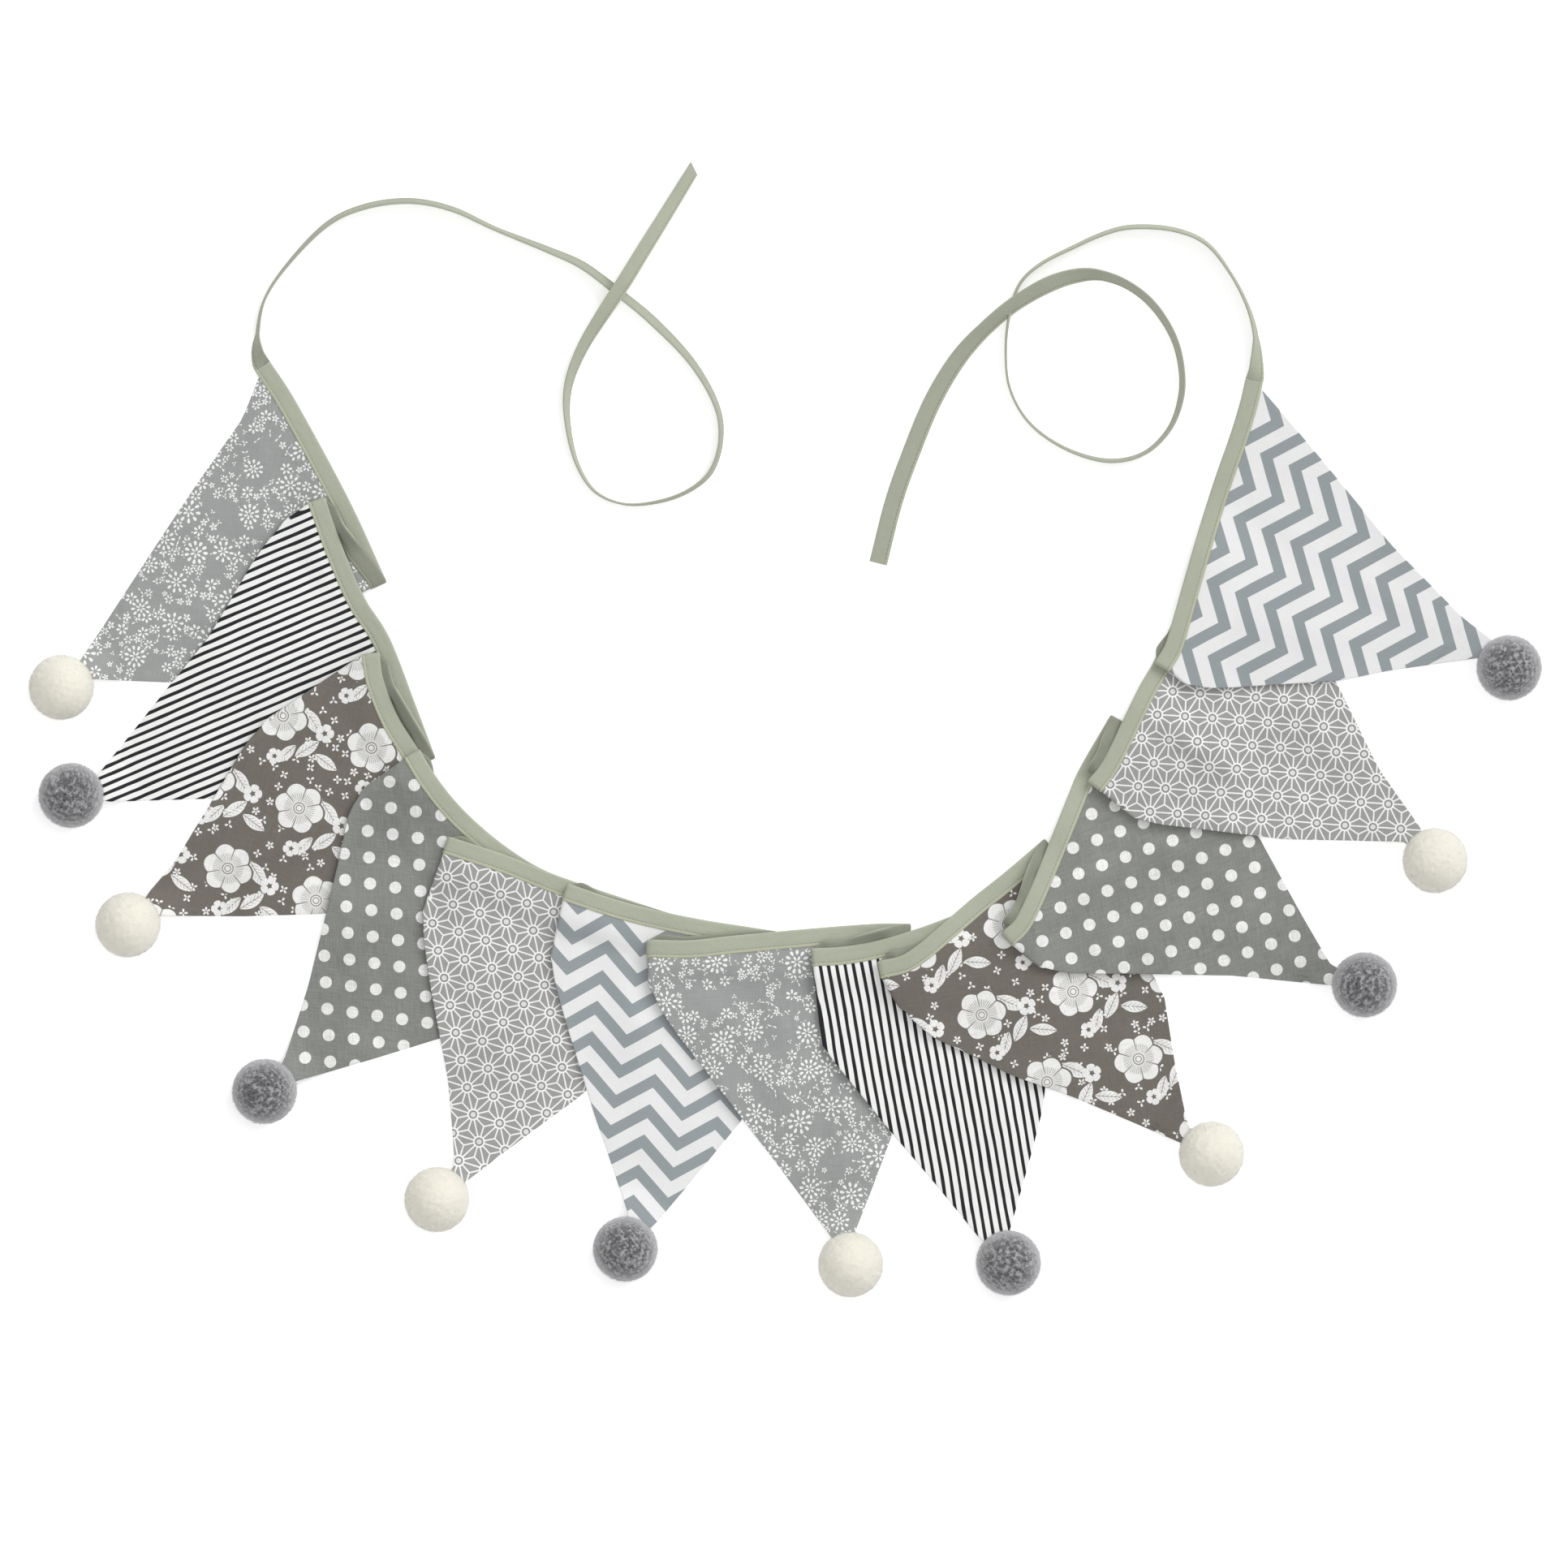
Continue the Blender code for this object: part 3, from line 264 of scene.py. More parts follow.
# The ties, from the binding to their free ends.  tilt is how far the tape is turned up
# about its sewn edge, in degrees: 0 is flat, 90 upright, and 180 flat on its other face.
# lift is how far its lower edge is off the surface.
TiePoint = namedtuple("TiePoint", "x y tilt lift")
LEFT_TIE = [
    TiePoint(-0.3240, 0.2945, 40, 0.0002),
    TiePoint(-0.3245, 0.3070, 80, 0.0),
    TiePoint(-0.3202, 0.3290, 86, 0.0),
    TiePoint(-0.3058, 0.3510, 82, 0.0),
    TiePoint(-0.2818, 0.3755, 76, 0.0),
    TiePoint(-0.2582, 0.3865, 74, 0.0),
    TiePoint(-0.2308, 0.3900, 74, 0.0),
    TiePoint(-0.2047, 0.3850, 76, 0.0),
    TiePoint(-0.1772, 0.3725, 80, 0.0),
    TiePoint(-0.1457, 0.3600, 72, 0.0),
    TiePoint(-0.1237, 0.3500, 66, 0.0),
    TiePoint(-0.1013, 0.3330, 64, 0.0),
    TiePoint(-0.0803, 0.3155, 62, 0.0),
    TiePoint(-0.0568, 0.2905, 70, 0.0),
    TiePoint(-0.0418, 0.2640, 76, 0.0),
    TiePoint(-0.0392, 0.2425, 80, 0.0),
    TiePoint(-0.0455, 0.2230, 80, 0.0),
    TiePoint(-0.0600, 0.2110, 84, 0.0),
    TiePoint(-0.0793, 0.2045, 86, 0.0),
    TiePoint(-0.0993, 0.2035, 90, 0.0),
    TiePoint(-0.1170, 0.2115, 94, 0.0),
    TiePoint(-0.1283, 0.2300, 98, 0.0),
    TiePoint(-0.1338, 0.2560, 104, 0.0),
    TiePoint(-0.1328, 0.2775, 114, 0.001),
    TiePoint(-0.1243, 0.2995, 126, 0.005),
    TiePoint(-0.1108, 0.3215, 138, 0.010),
    TiePoint(-0.0983, 0.3405, 144, 0.0115),
    TiePoint(-0.0870, 0.3590, 142, 0.009),
    TiePoint(-0.0762, 0.3765, 138, 0.005),
    TiePoint(-0.0660, 0.3932, 134, 0.001),
    TiePoint(-0.0558, 0.4100, 130, 0.0),
]
RIGHT_TIE = [
    TiePoint(0.2906, 0.2860, 35, 0.0002),
    TiePoint(0.2903, 0.3060, 76, 0.0),
    TiePoint(0.2853, 0.3250, 82, 0.0),
    TiePoint(0.2747, 0.3455, 84, 0.0),
    TiePoint(0.2597, 0.3640, 80, 0.0),
    TiePoint(0.2392, 0.3725, 78, 0.0),
    TiePoint(0.2142, 0.3740, 78, 0.0),
    TiePoint(0.1968, 0.3700, 80, 0.0),
    TiePoint(0.1777, 0.3615, 82, 0.0),
    TiePoint(0.1582, 0.3515, 84, 0.0),
    TiePoint(0.1452, 0.3395, 86, 0.0),
    TiePoint(0.1387, 0.3210, 88, 0.0),
    TiePoint(0.1363, 0.2975, 90, 0.0),
    TiePoint(0.1390, 0.2740, 92, 0.0),
    TiePoint(0.1512, 0.2530, 94, 0.0),
    TiePoint(0.1732, 0.2375, 96, 0.0),
    TiePoint(0.1992, 0.2300, 100, 0.0),
    TiePoint(0.2212, 0.2345, 98, 0.0),
    TiePoint(0.2367, 0.2490, 100, 0.0),
    TiePoint(0.2440, 0.2675, 104, 0.0),
    TiePoint(0.2447, 0.2860, 104, 0.0),
    TiePoint(0.2397, 0.3060, 106, 0.0),
    TiePoint(0.2278, 0.3250, 110, 0.0),
    TiePoint(0.2127, 0.3375, 112, 0.001),
    TiePoint(0.1958, 0.3440, 120, 0.003),
    TiePoint(0.1807, 0.3440, 140, 0.007),
    TiePoint(0.1628, 0.3385, 152, 0.0104),
    TiePoint(0.1418, 0.3265, 142, 0.0090),
    TiePoint(0.1232, 0.3110, 142, 0.0060),
    TiePoint(0.1067, 0.2925, 160, 0.0030),
    TiePoint(0.0912, 0.2665, 172, 0.0015),
    TiePoint(0.0777, 0.2340, 176, 0.0),
    TiePoint(0.0673, 0.2045, 179, 0.0),
    TiePoint(0.0578, 0.1670, 180, 0.0),
]

# One row for each pennant's print.  turn is how far its first threads are turned
# from the row's X axis towards the tips of the middle pennants, and lean how far
# its other threads are out of square, both in degrees.
Print = namedtuple("Print", "kind turn lean")
PRINTS = [
    Print("ditsy", 12, 0),
    Print("stripe", 67, 0),
    Print("floral", 20, 0),
    Print("dots", -3, 11),
    Print("star", 18, 0),
    Print("chevron", 10, 0),
    Print("ditsy", -4, 0),
    Print("stripe", -10, 0),
    Print("floral", -14, 0),
    Print("dots", -12, -7),
    Print("star", 4, 0),
    Print("chevron", -67, 0),
]

# Soft ridges in the cloth.  The places are in the pennant's own flat sizes in
# millimetres: across from its middle line, and down from its top edge.
Crease = namedtuple("Crease", "pennant x1 y1 x2 y2 height half_width")
MILLIMETRES = 1000
CREASES = [
    Crease(1, -60, 30, -10, 120, 1.2, 9),
    Crease(1, 20, 60, 4, 185, 0.9, 6),
    Crease(2, 30, 40, 6, 150, 1.4, 10),
    Crease(2, -35, 30, -4, 160, 0.8, 8),
    Crease(3, -30, 90, -3, 190, 1.0, 7),
    Crease(4, -50, 60, -6, 190, 1.2, 9),
    Crease(4, 10, 40, 3, 130, 0.8, 12),
    Crease(5, -55, 25, -12, 110, 1.3, 9),
    Crease(5, 5, 110, 1, 195, 0.9, 6),
    Crease(6, -30, 30, -5, 140, 1.1, 10),
    Crease(7, -40, 35, -8, 120, 1.3, 8),
    Crease(7, 12, 70, 3, 190, 1.0, 6),
    Crease(7, -12, 15, -6, 70, 0.9, 6),
    Crease(8, 2, 30, 1, 130, 1.1, 9),
    Crease(8, 30, 60, 10, 160, 1.2, 7),
    Crease(9, 20, 30, 4, 150, 1.2, 9),
    Crease(10, 25, 30, 5, 150, 1.2, 10),
    Crease(10, -20, 70, -3, 180, 0.8, 7),
    Crease(11, -21, 10, -23, 80, 5.0, 8),
    Crease(11, -62, 45, -40, 110, 1.5, 6),
    Crease(11, 35, 40, 6, 150, 1.0, 9),
    Crease(12, -40, 30, -6, 150, 1.3, 10),
    Crease(12, 25, 35, 5, 165, 1.1, 9),
]


# ---------------------------------------------------------------- sizes and colours


def linear(code):
    """A screen colour such as "8f9696" as the scene's own linear numbers."""
    parts = [int(code[start:start + 2], 16) / 255 for start in (0, 2, 4)]
    return tuple(((part + 0.055) / 1.055) ** 2.4 if part > 0.04045 else part / 12.92
                 for part in parts)


def length(name, text, default):
    """A size on the panel, in metres."""
    return bpy.props.FloatProperty(name=name, description=text, default=default, min=0.0,
                                   unit="LENGTH", subtype="DISTANCE", precision=5)


def colour(name, text, code):
    """A colour on the panel, given as a screen colour."""
    return bpy.props.FloatVectorProperty(name=name, description=text, subtype="COLOR", size=3,
                                         min=0.0, max=1.0, default=linear(code))


class BuntingSizes(bpy.types.PropertyGroup):
    """Sizes that the look is made with."""

    cloth_grid: length("Cloth grid", "Spacing of the points in a pennant and its binding", 0.003)
    cloth_thick: length("Cloth thickness", "Two layers of cotton", 0.0010)
    stitch_pitch: length("Stitch pitch", "From one stitch to the next", 0.0028)
    stitch_length: length("Stitch length", "Thread that shows in one stitch", 0.0019)
    stitch_inset: length("Stitch inset", "From the binding's lower edge to its stitches", 0.0021)
    thread: length("Thread", "Thickness of the sewing thread", 0.00036)
    strand_thick: length("Strand thickness", "Foot of a strand of yarn", 0.00050)
    strands: bpy.props.IntProperty(name="Strands", description="Strands in one pompom",
                                   default=7600, min=100, max=9000)
    weave: length("Weave pitch", "From one thread of the cotton to the next", 0.00055)


class BuntingColours(bpy.types.PropertyGroup):
    """Colours of the cottons and yarns."""

    sage: colour("Sage", "Bias binding and ties", "a7ab9a")
    # The thread's own sage, painted darker for the shade in the stitches' dimples
    thread_painted_dark: colour("Sewing thread", "Thread along the binding", "5c614f")
    ditsy: colour("Grey", "Ground of the small flowers", "989b99")
    charcoal: colour("Charcoal", "Stripes", "1b1d20")
    brown: colour("Brown-grey", "Ground of the large flowers", "6f6963")
    moss: colour("Moss grey", "Ground of the dots", "838580")
    silver: colour("Silver", "Ground of the stars", "9a9a99")
    dusk: colour("Dusk blue", "Chevrons", "92999c")
    white: colour("Print white", "White of the prints", "ededeb")
    cream: colour("Cream yarn", "White pompoms", "e6e3d6")
    pewter: colour("Pewter yarn", "Grey pompoms", "afafb2")


# Second tones of the prints and the tape
DARK_RING = linear("6c6c6e")
PALE_BAND = linear("e4e5e4")
PALE_LIP = linear("c3c3a4")
# Painted shade in the groove along the tape's seam
SEAM_PAINTED_SHADE = linear("7d826a")


# ---------------------------------------------------------------- where everything lies

# The tape at one place: its middle, the way to its sewn edge, and the way it faces
Frame = namedtuple("Frame", "place down normal")


def unit(vector):
    return vector / np.linalg.norm(vector)


def unit_rows(rows):
    return rows / np.linalg.norm(rows, axis=1, keepdims=True)


def smooth(value):
    """0 up to 0, 1 from 1 on, and a soft step between them."""
    value = np.clip(value, 0.0, 1.0)
    return value * value * (3.0 - 2.0 * value)


def lengths_along(points):
    """How far along a line each of its points is."""
    steps = np.linalg.norm(np.diff(points, axis=0), axis=1)
    return np.concatenate([[0.0], np.cumsum(steps)])


def in_row(points):
    """Points of the tables' plan in the row frame."""
    return np.asarray(points, dtype=float) - ORIGIN


class Path:
    """A smooth line through plan points, read by the length along it."""

    SPAN_STEPS = 10

    def __init__(self, points, straight=False):
        points = np.array(points, dtype=float)
        self.points = points if straight else self._rounded(points)
        self.lengths = lengths_along(self.points)
        self.length = self.lengths[-1]
        self.first_heading = unit(self.at(HEADING_REACH) - self.points[0])
        self.last_heading = unit(self.points[-1] - self.at(self.length - HEADING_REACH))

    def _rounded(self, points):
        """A curve through all points, each span of it in SPAN_STEPS straight steps."""
        before = 2 * points[0] - points[1]
        after = 2 * points[-1] - points[-2]
        knots = np.vstack([before, points, after])
        fine = []
        for index in range(1, len(knots) - 2):
            p0, p1, p2, p3 = knots[index - 1:index + 3]
            for step in range(self.SPAN_STEPS):
                t = step / self.SPAN_STEPS
                fine.append(0.5 * (2 * p1 + (p2 - p0) * t
                                   + (2 * p0 - 5 * p1 + 4 * p2 - p3) * t ** 2
                                   + (3 * p1 - p0 - 3 * p2 + p3) * t ** 3))
        fine.append(points[-1])
        return np.array(fine)

    def at(self, distance):
        return np.array([np.interp(distance, self.lengths, self.points[:, axis])
                         for axis in range(self.points.shape[1])])

    def heading(self, distance):
        """Direction of travel, which stays the same close to each end."""
        if distance < STEADY_END:
            return self.first_heading
        if distance > self.length - STEADY_END:
            return self.last_heading
        return unit(self.at(distance + HEADING_REACH) - self.at(distance - HEADING_REACH))


def return_path(first, second):
    """The binding's way back, from the right fold of one run to the left fold of the next."""
    start = first.points[-1]
    end = second.points[0]
    pull = RETURN_PULL * np.linalg.norm(end - start)
    leave = start - pull * first.last_heading
    arrive = end + pull * second.first_heading
    line = [(1 - t) ** 3 * start + 3 * (1 - t) ** 2 * t * leave
            + 3 * (1 - t) * t ** 2 * arrive + t ** 3 * end
            for t in np.linspace(0.0, 1.0, RETURN_STEPS)]
    back = Path(line, straight=True)
    back.first_heading = -first.last_heading
    back.last_heading = -second.first_heading
    return back


def distance_to_line(spots, line):
    """Distance in plan from each spot to the nearest place on a line."""
    along = line[1:] - line[:-1]
    offset = spots[:, None, :] - line[None, :-1, :]
    share = np.sum(offset * along, axis=2) / np.maximum(np.sum(along * along, axis=1), TINY)
    nearest = offset - np.clip(share, 0.0, 1.0)[:, :, None] * along
    return np.sqrt(np.sum(nearest * nearest, axis=2).min(axis=1))


def distance_to_patch(spots, patch):
    """Distance to a polygon in plan, zero inside it."""
    ring = np.vstack([patch, patch[:1]])
    inside = np.zeros(len(spots), dtype=bool)
    for (x1, y1), (x2, y2) in zip(ring[:-1], ring[1:]):
        crosses = (y1 > spots[:, 1]) != (y2 > spots[:, 1])
        rise = y2 - y1 if y2 != y1 else TINY
        inside ^= crosses & (spots[:, 0] < x1 + (spots[:, 1] - y1) * (x2 - x1) / rise)
    return np.where(inside, 0.0, distance_to_line(spots, ring))


class Layer:
    """One layer of the pile: a stretch of binding and the cloth in it."""

    def __init__(self, strip, patches):
        self.strip = strip
        self.patches = patches
        everything = np.vstack([strip.points] + list(patches))
        self.low = everything.min(axis=0) - SETTLE - LEVEL_MARGIN - TAPE_WIDTH
        self.high = everything.max(axis=0) + SETTLE + LEVEL_MARGIN + TAPE_WIDTH

    def gaps(self, spots):
        """How far spots are from the edge of the binding, and from the cloth."""
        strip = distance_to_line(spots, self.strip.points) - TAPE_WIDTH / 2
        return strip, np.min([distance_to_patch(spots, patch) for patch in self.patches], axis=0)

    def near(self, spots):
        """Which spots are close enough for this layer to change them."""
        return np.all((spots > self.low) & (spots < self.high), axis=1)

    def lift(self, spots):
        """How much this layer raises what lies over it."""
        height = np.zeros(len(spots))
        near = self.near(spots)
        if near.any():
            strip, cloth = self.gaps(spots[near])
            height[near] = np.maximum(TAPE_STEP * smooth(1.0 - (strip - LEVEL_MARGIN) / SETTLE),
                                      CLOTH_STEP * smooth(1.0 - (cloth - LEVEL_MARGIN) / SETTLE))
        return height

    def hide(self, spots):
        """1 at spots that this layer lies on, and 0 a little way beside it."""
        share = np.zeros(len(spots))
        near = self.near(spots)
        if near.any():
            apart = np.minimum(*self.gaps(spots[near]))
            share[near] = smooth(1.0 - (apart - HIDE_MARGIN) / HIDE_FADE)
        return share


def side_down(heading):
    """Across the binding, towards the tips of the pennants."""
    return np.array([heading[1], -heading[0]])


def flap_width(side, folded):
    """How much of the top edge is turned under at one side."""
    if not folded:
        return 0.0
    crease = np.linalg.norm(np.subtract(side[1], side[0]))
    return HALF_WIDTH_PER_DROP * (SLOT_DEPTH + crease)


class Side:
    """One side of a pennant in plan, read by the drop below the top edge."""

    def __init__(self, points, folded, tip):
        points = [np.array(point) for point in points] + [tip]
        steps = [np.linalg.norm(b - a) for a, b in zip(points[:-1], points[1:])]
        slant = math.hypot(1.0, HALF_WIDTH_PER_DROP)
        drops = [SLOT_DEPTH]
        for index, step in enumerate(steps):
            drops.append(drops[-1] + (step if folded and index == 0 else step / slant))
        self.points = np.array(points)
        self.drops = np.array(drops)
        self.fold_end = drops[1] if folded else 0.0

    def stretch(self, drop):
        """Scale the slanted part so that both sides meet the tip at the same drop."""
        fixed = self.fold_end or SLOT_DEPTH
        share = (drop - fixed) / (self.drops[-1] - fixed)
        self.drops = np.where(self.drops > fixed, fixed + (self.drops - fixed) * share, self.drops)

    def at(self, drops):
        return np.stack([np.interp(drops, self.drops, self.points[:, axis]) for axis in (0, 1)],
                        axis=-1)

    def closing(self, drops, tall):
        """How much of the way to the middle of the cloth its edge has come at some drops."""
        return np.maximum(0.0, (drops - self.fold_end) / (tall - self.fold_end))


class Bunting:
    """Works out where every column of cloth and ring of binding lies."""

    def __init__(self):
        self.runs = [Path(pennant.run) for pennant in PENNANTS]
        self.returns = [return_path(a, b) for a, b in zip(self.runs[:-1], self.runs[1:])]
        self.layers = []
        for index, pennant in enumerate(PENNANTS):
            outline = np.array(list(pennant.left) + [pennant.pompom] + list(pennant.right)[::-1])
            self.layers.append(Layer(self.runs[index], [outline]))
            if index < len(self.returns):
                over = self.flap_patch(pennant.right, pennant.right_folded, pennant.left)
                following = PENNANTS[index + 1]
                under = self.flap_patch(following.left, following.left_folded, following.right)
                self.layers.append(Layer(self.returns[index], [over, under]))

    @staticmethod
    def flap_patch(side, folded, other):
        """The three corners in plan of the cloth that is turned under at one side."""
        start = np.array(side[0])
        inward = unit(np.array(other[0]) - start)
        return np.array([start, side[1], start + inward * flap_width(side, folded)])

    def pile(self, layer, spots):
        """Height of what lies below a layer."""
        spots = np.atleast_2d(spots)
        return sum((below.lift(spots) for below in self.layers[:layer]), np.zeros(len(spots)))

    def cover(self, layer, spots):
        """1 where something lies over a layer, and 0 where it shows."""
        share = np.zeros(len(spots))
        for over in self.layers[layer + 1:]:
            share = np.maximum(share, over.hide(spots))
        return share

    def level(self, path, layer, distance, flipped=False):
        """The binding's frame on the pile, which it follows across its width."""
        place = path.at(distance)
        heading = path.heading(distance)
        across = side_down(-heading if flipped else heading)
        tilt = 0.0
        if flipped and distance < path.length:
            place, tilt = self.pleat(path, layer, distance, place, across)
        half = TAPE_WIDTH / 2 * math.cos(tilt)
        edges = self.pile(layer, [place - across * half, place + across * half])
        rise = TAPE_WIDTH * math.sin(tilt)
        down = unit(np.array((*(across * half * 2), edges[1] - edges[0] - rise)))
        normal = unit(np.cross(down, (*heading, 0.0)))
        height = TAPE_THICK / 2 + edges.mean() + rise / 2
        return Frame(np.array((*place, height)), down, normal)

    def pleat(self, path, layer, distance, place, across):
        """The middle and the tilt of a return that stands up beside the next run."""
        following = self.runs[(layer + 1) // 2].points
        to_fold = path.length - distance
        near_fold = 1.0 - smooth((to_fold - PLEAT_BULGE_AT) / (2 * PLEAT_BULGE_AT))
        bulge = PLEAT_BULGE * smooth(to_fold / PLEAT_BULGE_AT) * near_fold
        crown = place - across * (TAPE_WIDTH / 2 + bulge)
        clear = distance_to_line(crown[None], following)[0] - TAPE_WIDTH / 2
        shown = np.clip(clear / TAPE_WIDTH, math.cos(PLEAT_TILT), 1.0)
        standing = smooth((clear - PLEAT_CLEAR) / (PLEAT_FULL - PLEAT_CLEAR))
        tilt = math.acos(shown) * standing * smooth(distance / PLEAT_START)
        return crown + across * TAPE_WIDTH / 2 * math.cos(tilt), tilt

    def fold(self, path, layer, flipped):
        """The frames of the half turn at a path's end, up to the layer above it."""
        start = self.level(path, layer, path.length, flipped)
        outward = np.array((*path.heading(path.length), 0.0))
        up = unit(np.cross(outward, start.down))
        up = up if up[2] > 0.0 else -up
        centre = start.place + (up - outward) * FOLD_RADIUS
        frames = []
        for angle in FOLD_ANGLES:
            spoke = outward * math.sin(angle) - up * math.cos(angle)
            frames.append(Frame(centre + spoke * FOLD_RADIUS, start.down,
                                spoke if flipped else -spoke))
        return frames


# ---------------------------------------------------------------- pennants as fine grids


def hill(spots, crease):
    """Height of one soft ridge at flat places on a pennant."""
    start = np.array((crease.x1, crease.y1)) / MILLIMETRES
    end = np.array((crease.x2, crease.y2)) / MILLIMETRES
    along = end - start
    share = (spots - start) @ along / (along @ along)
    apart = np.linalg.norm(spots - start - np.clip(share, 0, 1)[..., None] * along, axis=-1)
    across = np.exp(-(apart / (crease.half_width / MILLIMETRES)) ** 2)
    start_fade = smooth((share + CREASE_RUN_OUT) / CREASE_FADE)
    end_fade = smooth((1.0 + CREASE_RUN_OUT - share) / CREASE_FADE)
    return crease.height / MILLIMETRES * across * (start_fade * end_fade)


def ripple(spots, seed):
    """Broad, low unevenness of cloth that has been folded away, from 0 to 1."""
    random = np.random.default_rng(seed)
    height = np.zeros(spots.shape[:-1])
    for _ in range(RIPPLE_WAVES):
        turn = random.uniform(0.0, 2 * math.pi)
        wave = random.uniform(*RIPPLE_LENGTHS)
        phase = random.uniform(0.0, 2 * math.pi)
        across = spots[..., 0] * math.cos(turn) + spots[..., 1] * math.sin(turn)
        height += np.sin(2 * math.pi * across / wave + phase)
    return 0.5 + height / RIPPLE_SPREAD


class PennantCloth:
    """One pennant's grid: a column has a frame in the binding and a way down the cloth."""

    FEWEST_ROWS = 12
    FEWEST_COLUMNS = 8
    NARROWEST = 1e-6
    PRINT_COLUMNS = 3             # beside a fold, they show which way its print carries on
    FACE_ROW = 4                  # below the slot, to see which way the cloth faces
    RIPPLE = 0.0008
    CREASE_START = 0.025          # below the slot, creases come up over this drop
    CREASE_ASIDE = 0.012          # and over this way in from each side

    # In rows of the hem at its widest
    SHORT_COLUMN = 4
    BODY_END = 2
    BEFORE_HEM = 1.4

    def __init__(self, bunting, index, grid, thick):
        self.bunting = bunting
        self.index = index
        self.thick = thick
        self.grid = grid
        self.layer = 2 * index
        self.pennant = PENNANTS[index]
        pennant = self.pennant
        self.under = flap_width(pennant.left, pennant.left_folded)
        self.over = flap_width(pennant.right, pennant.right_folded)
        folds = pennant.left_folded + pennant.right_folded
        self.width = self.under + bunting.runs[index].length - FOLD_RADIUS * folds + self.over
        self.middle = np.array(pennant.pompom)
        ends = (np.array(pennant.left[-1]) + np.array(pennant.right[-1])) / 2
        self.axis = unit(ends - self.middle)
        across = np.array([-self.axis[1], self.axis[0]])
        if np.dot(np.array(pennant.left[-1]) - ends, across) < 0:
            across = -across
        tip = self.middle + self.axis * TIP_REACH
        self.left = Side(pennant.left, pennant.left_folded, tip + across * TIP_HALF_WIDTH)
        self.right = Side(pennant.right, pennant.right_folded, tip - across * TIP_HALF_WIDTH)
        self.end = (self.left.drops[-1] + self.right.drops[-1]) / 2
        self.left.stretch(self.end)
        self.right.stretch(self.end)
        self.tall = self.end + TIP_HALF_WIDTH / HALF_WIDTH_PER_DROP
        rows = max(self.FEWEST_ROWS, round((self.tall - SLOT_DEPTH) / grid))
        self.shares = np.linspace(0.0, 1.0, rows + 1)[:-1]
        self.flats = []
        self.frames = []
        self.columns = []

    def drop_at(self, flat):
        """How far down the cloth reaches in one column."""
        half = self.width / 2
        edge = min(flat, self.width - flat)
        flap = self.under if flat <= half else self.over
        fold_end = (self.left if flat <= half else self.right).fold_end
        if flap and edge < flap:
            return max(fold_end * edge / flap, SLOT_DEPTH + SHORTEST_DROP)
        share = (edge - flap) / (half - flap)
        return min(fold_end + (self.tall - fold_end) * share, self.end)

    def drops_of(self, flat):
        """The drops of one column's points: even down the cloth, and closer at its hem."""
        shown = self.drop_at(flat) - SLOT_DEPTH
        hem = EDGE_ROWS * min(1.0, shown / (self.SHORT_COLUMN * EDGE_ROWS[0]))
        body = self.shares * (shown - self.BODY_END * hem[0])
        before_hem = [shown - self.BEFORE_HEM * hem[0]]
        return SLOT_DEPTH + np.concatenate([body, before_hem, shown - hem])

    def sides_at(self, drops):
        """Places on both sides, and the way from each on the left to the one on the right."""
        left = self.left.at(drops)
        right = self.right.at(drops)
        return left, right, unit_rows(right - left)

    def main_spots(self, flat, drops):
        """Places in plan of a column that isn't turned under."""
        left, right, inward = self.sides_at(drops)
        half = self.width / 2
        low = self.under + (half - self.under) * self.left.closing(drops, self.tall)
        high = self.width - self.over - (half - self.over) * self.right.closing(drops, self.tall)
        share = (flat - low) / np.maximum(high - low, self.NARROWEST)
        for places, side, sign in ((left, self.left, 1.0), (right, self.right, -1.0)):
            if side.fold_end:
                held = 1.0 - smooth((drops - side.fold_end) / TAPE_WIDTH)
                places += sign * inward * held[:, None] * FOLD_RADIUS
        return left + (right - left) * share[:, None]

    def flap_spots(self, on_left, reach, drops):
        """Places in plan of a column that is turned under, a reach inside the crease."""
        left, right, inward = self.sides_at(drops)
        reach = np.reshape(reach, (-1, 1))
        return left + inward * reach if on_left else right - inward * reach

    def add_column(self, frame, flat, spots_of, heights_of):
        """Points down one column, from the slot in the binding."""
        drops = self.drops_of(flat)
        inner = frame.place + frame.down * (TAPE_WIDTH / 2 - SLOT_DEPTH + END_GAP)
        outer = frame.place + frame.down * (TAPE_WIDTH / 2)
        in_slot = [inner, (inner + outer) / 2, outer]
        spots = spots_of(drops)
        shift = outer[:2] - spots[0]
        past = drops - SLOT_DEPTH
        spots = spots + shift * (1.0 - smooth(past / LINE_UP))[:, None]
        settled = smooth(past / TAPE_SETTLE)
        heights = heights_of(spots, drops) * settled + outer[2] * (1.0 - settled)
        below = np.column_stack([spots, heights])[1:]
        self.columns.append(np.vstack([in_slot, below]))
        self.frames.append(frame)
        self.flats.append((flat, np.concatenate([[0.0, SLOT_DEPTH / 2, SLOT_DEPTH], drops[1:]])))

    def add_flap(self, frame, flat, on_left, reach):
        """A column of the cloth that is turned under, flat in its own layer."""
        layer = self.layer - 1 if on_left else self.layer + 1
        self.add_column(frame, flat, lambda drops: self.flap_spots(on_left, reach, drops),
                        lambda spots, drops: self.thick / 2 + self.bunting.pile(layer, spots))

    def add_turn(self, frame, flat, on_left, angle):
        """A column in the half turn at a crease, at an angle from its lower layer."""
        below = self.layer - 1 if on_left else self.layer
        side = self.left if on_left else self.right

        def radii(drops):
            return self.bunting.layers[below].lift(side.at(drops)) / 2

        def heights(_spots, drops):
            bottom = self.thick / 2 + self.bunting.pile(below, side.at(drops))
            return bottom + radii(drops) * (1.0 - math.cos(angle))

        self.add_column(
            frame, flat,
            lambda drops: self.flap_spots(on_left, radii(drops) * (1 - math.sin(angle)), drops),
            heights)

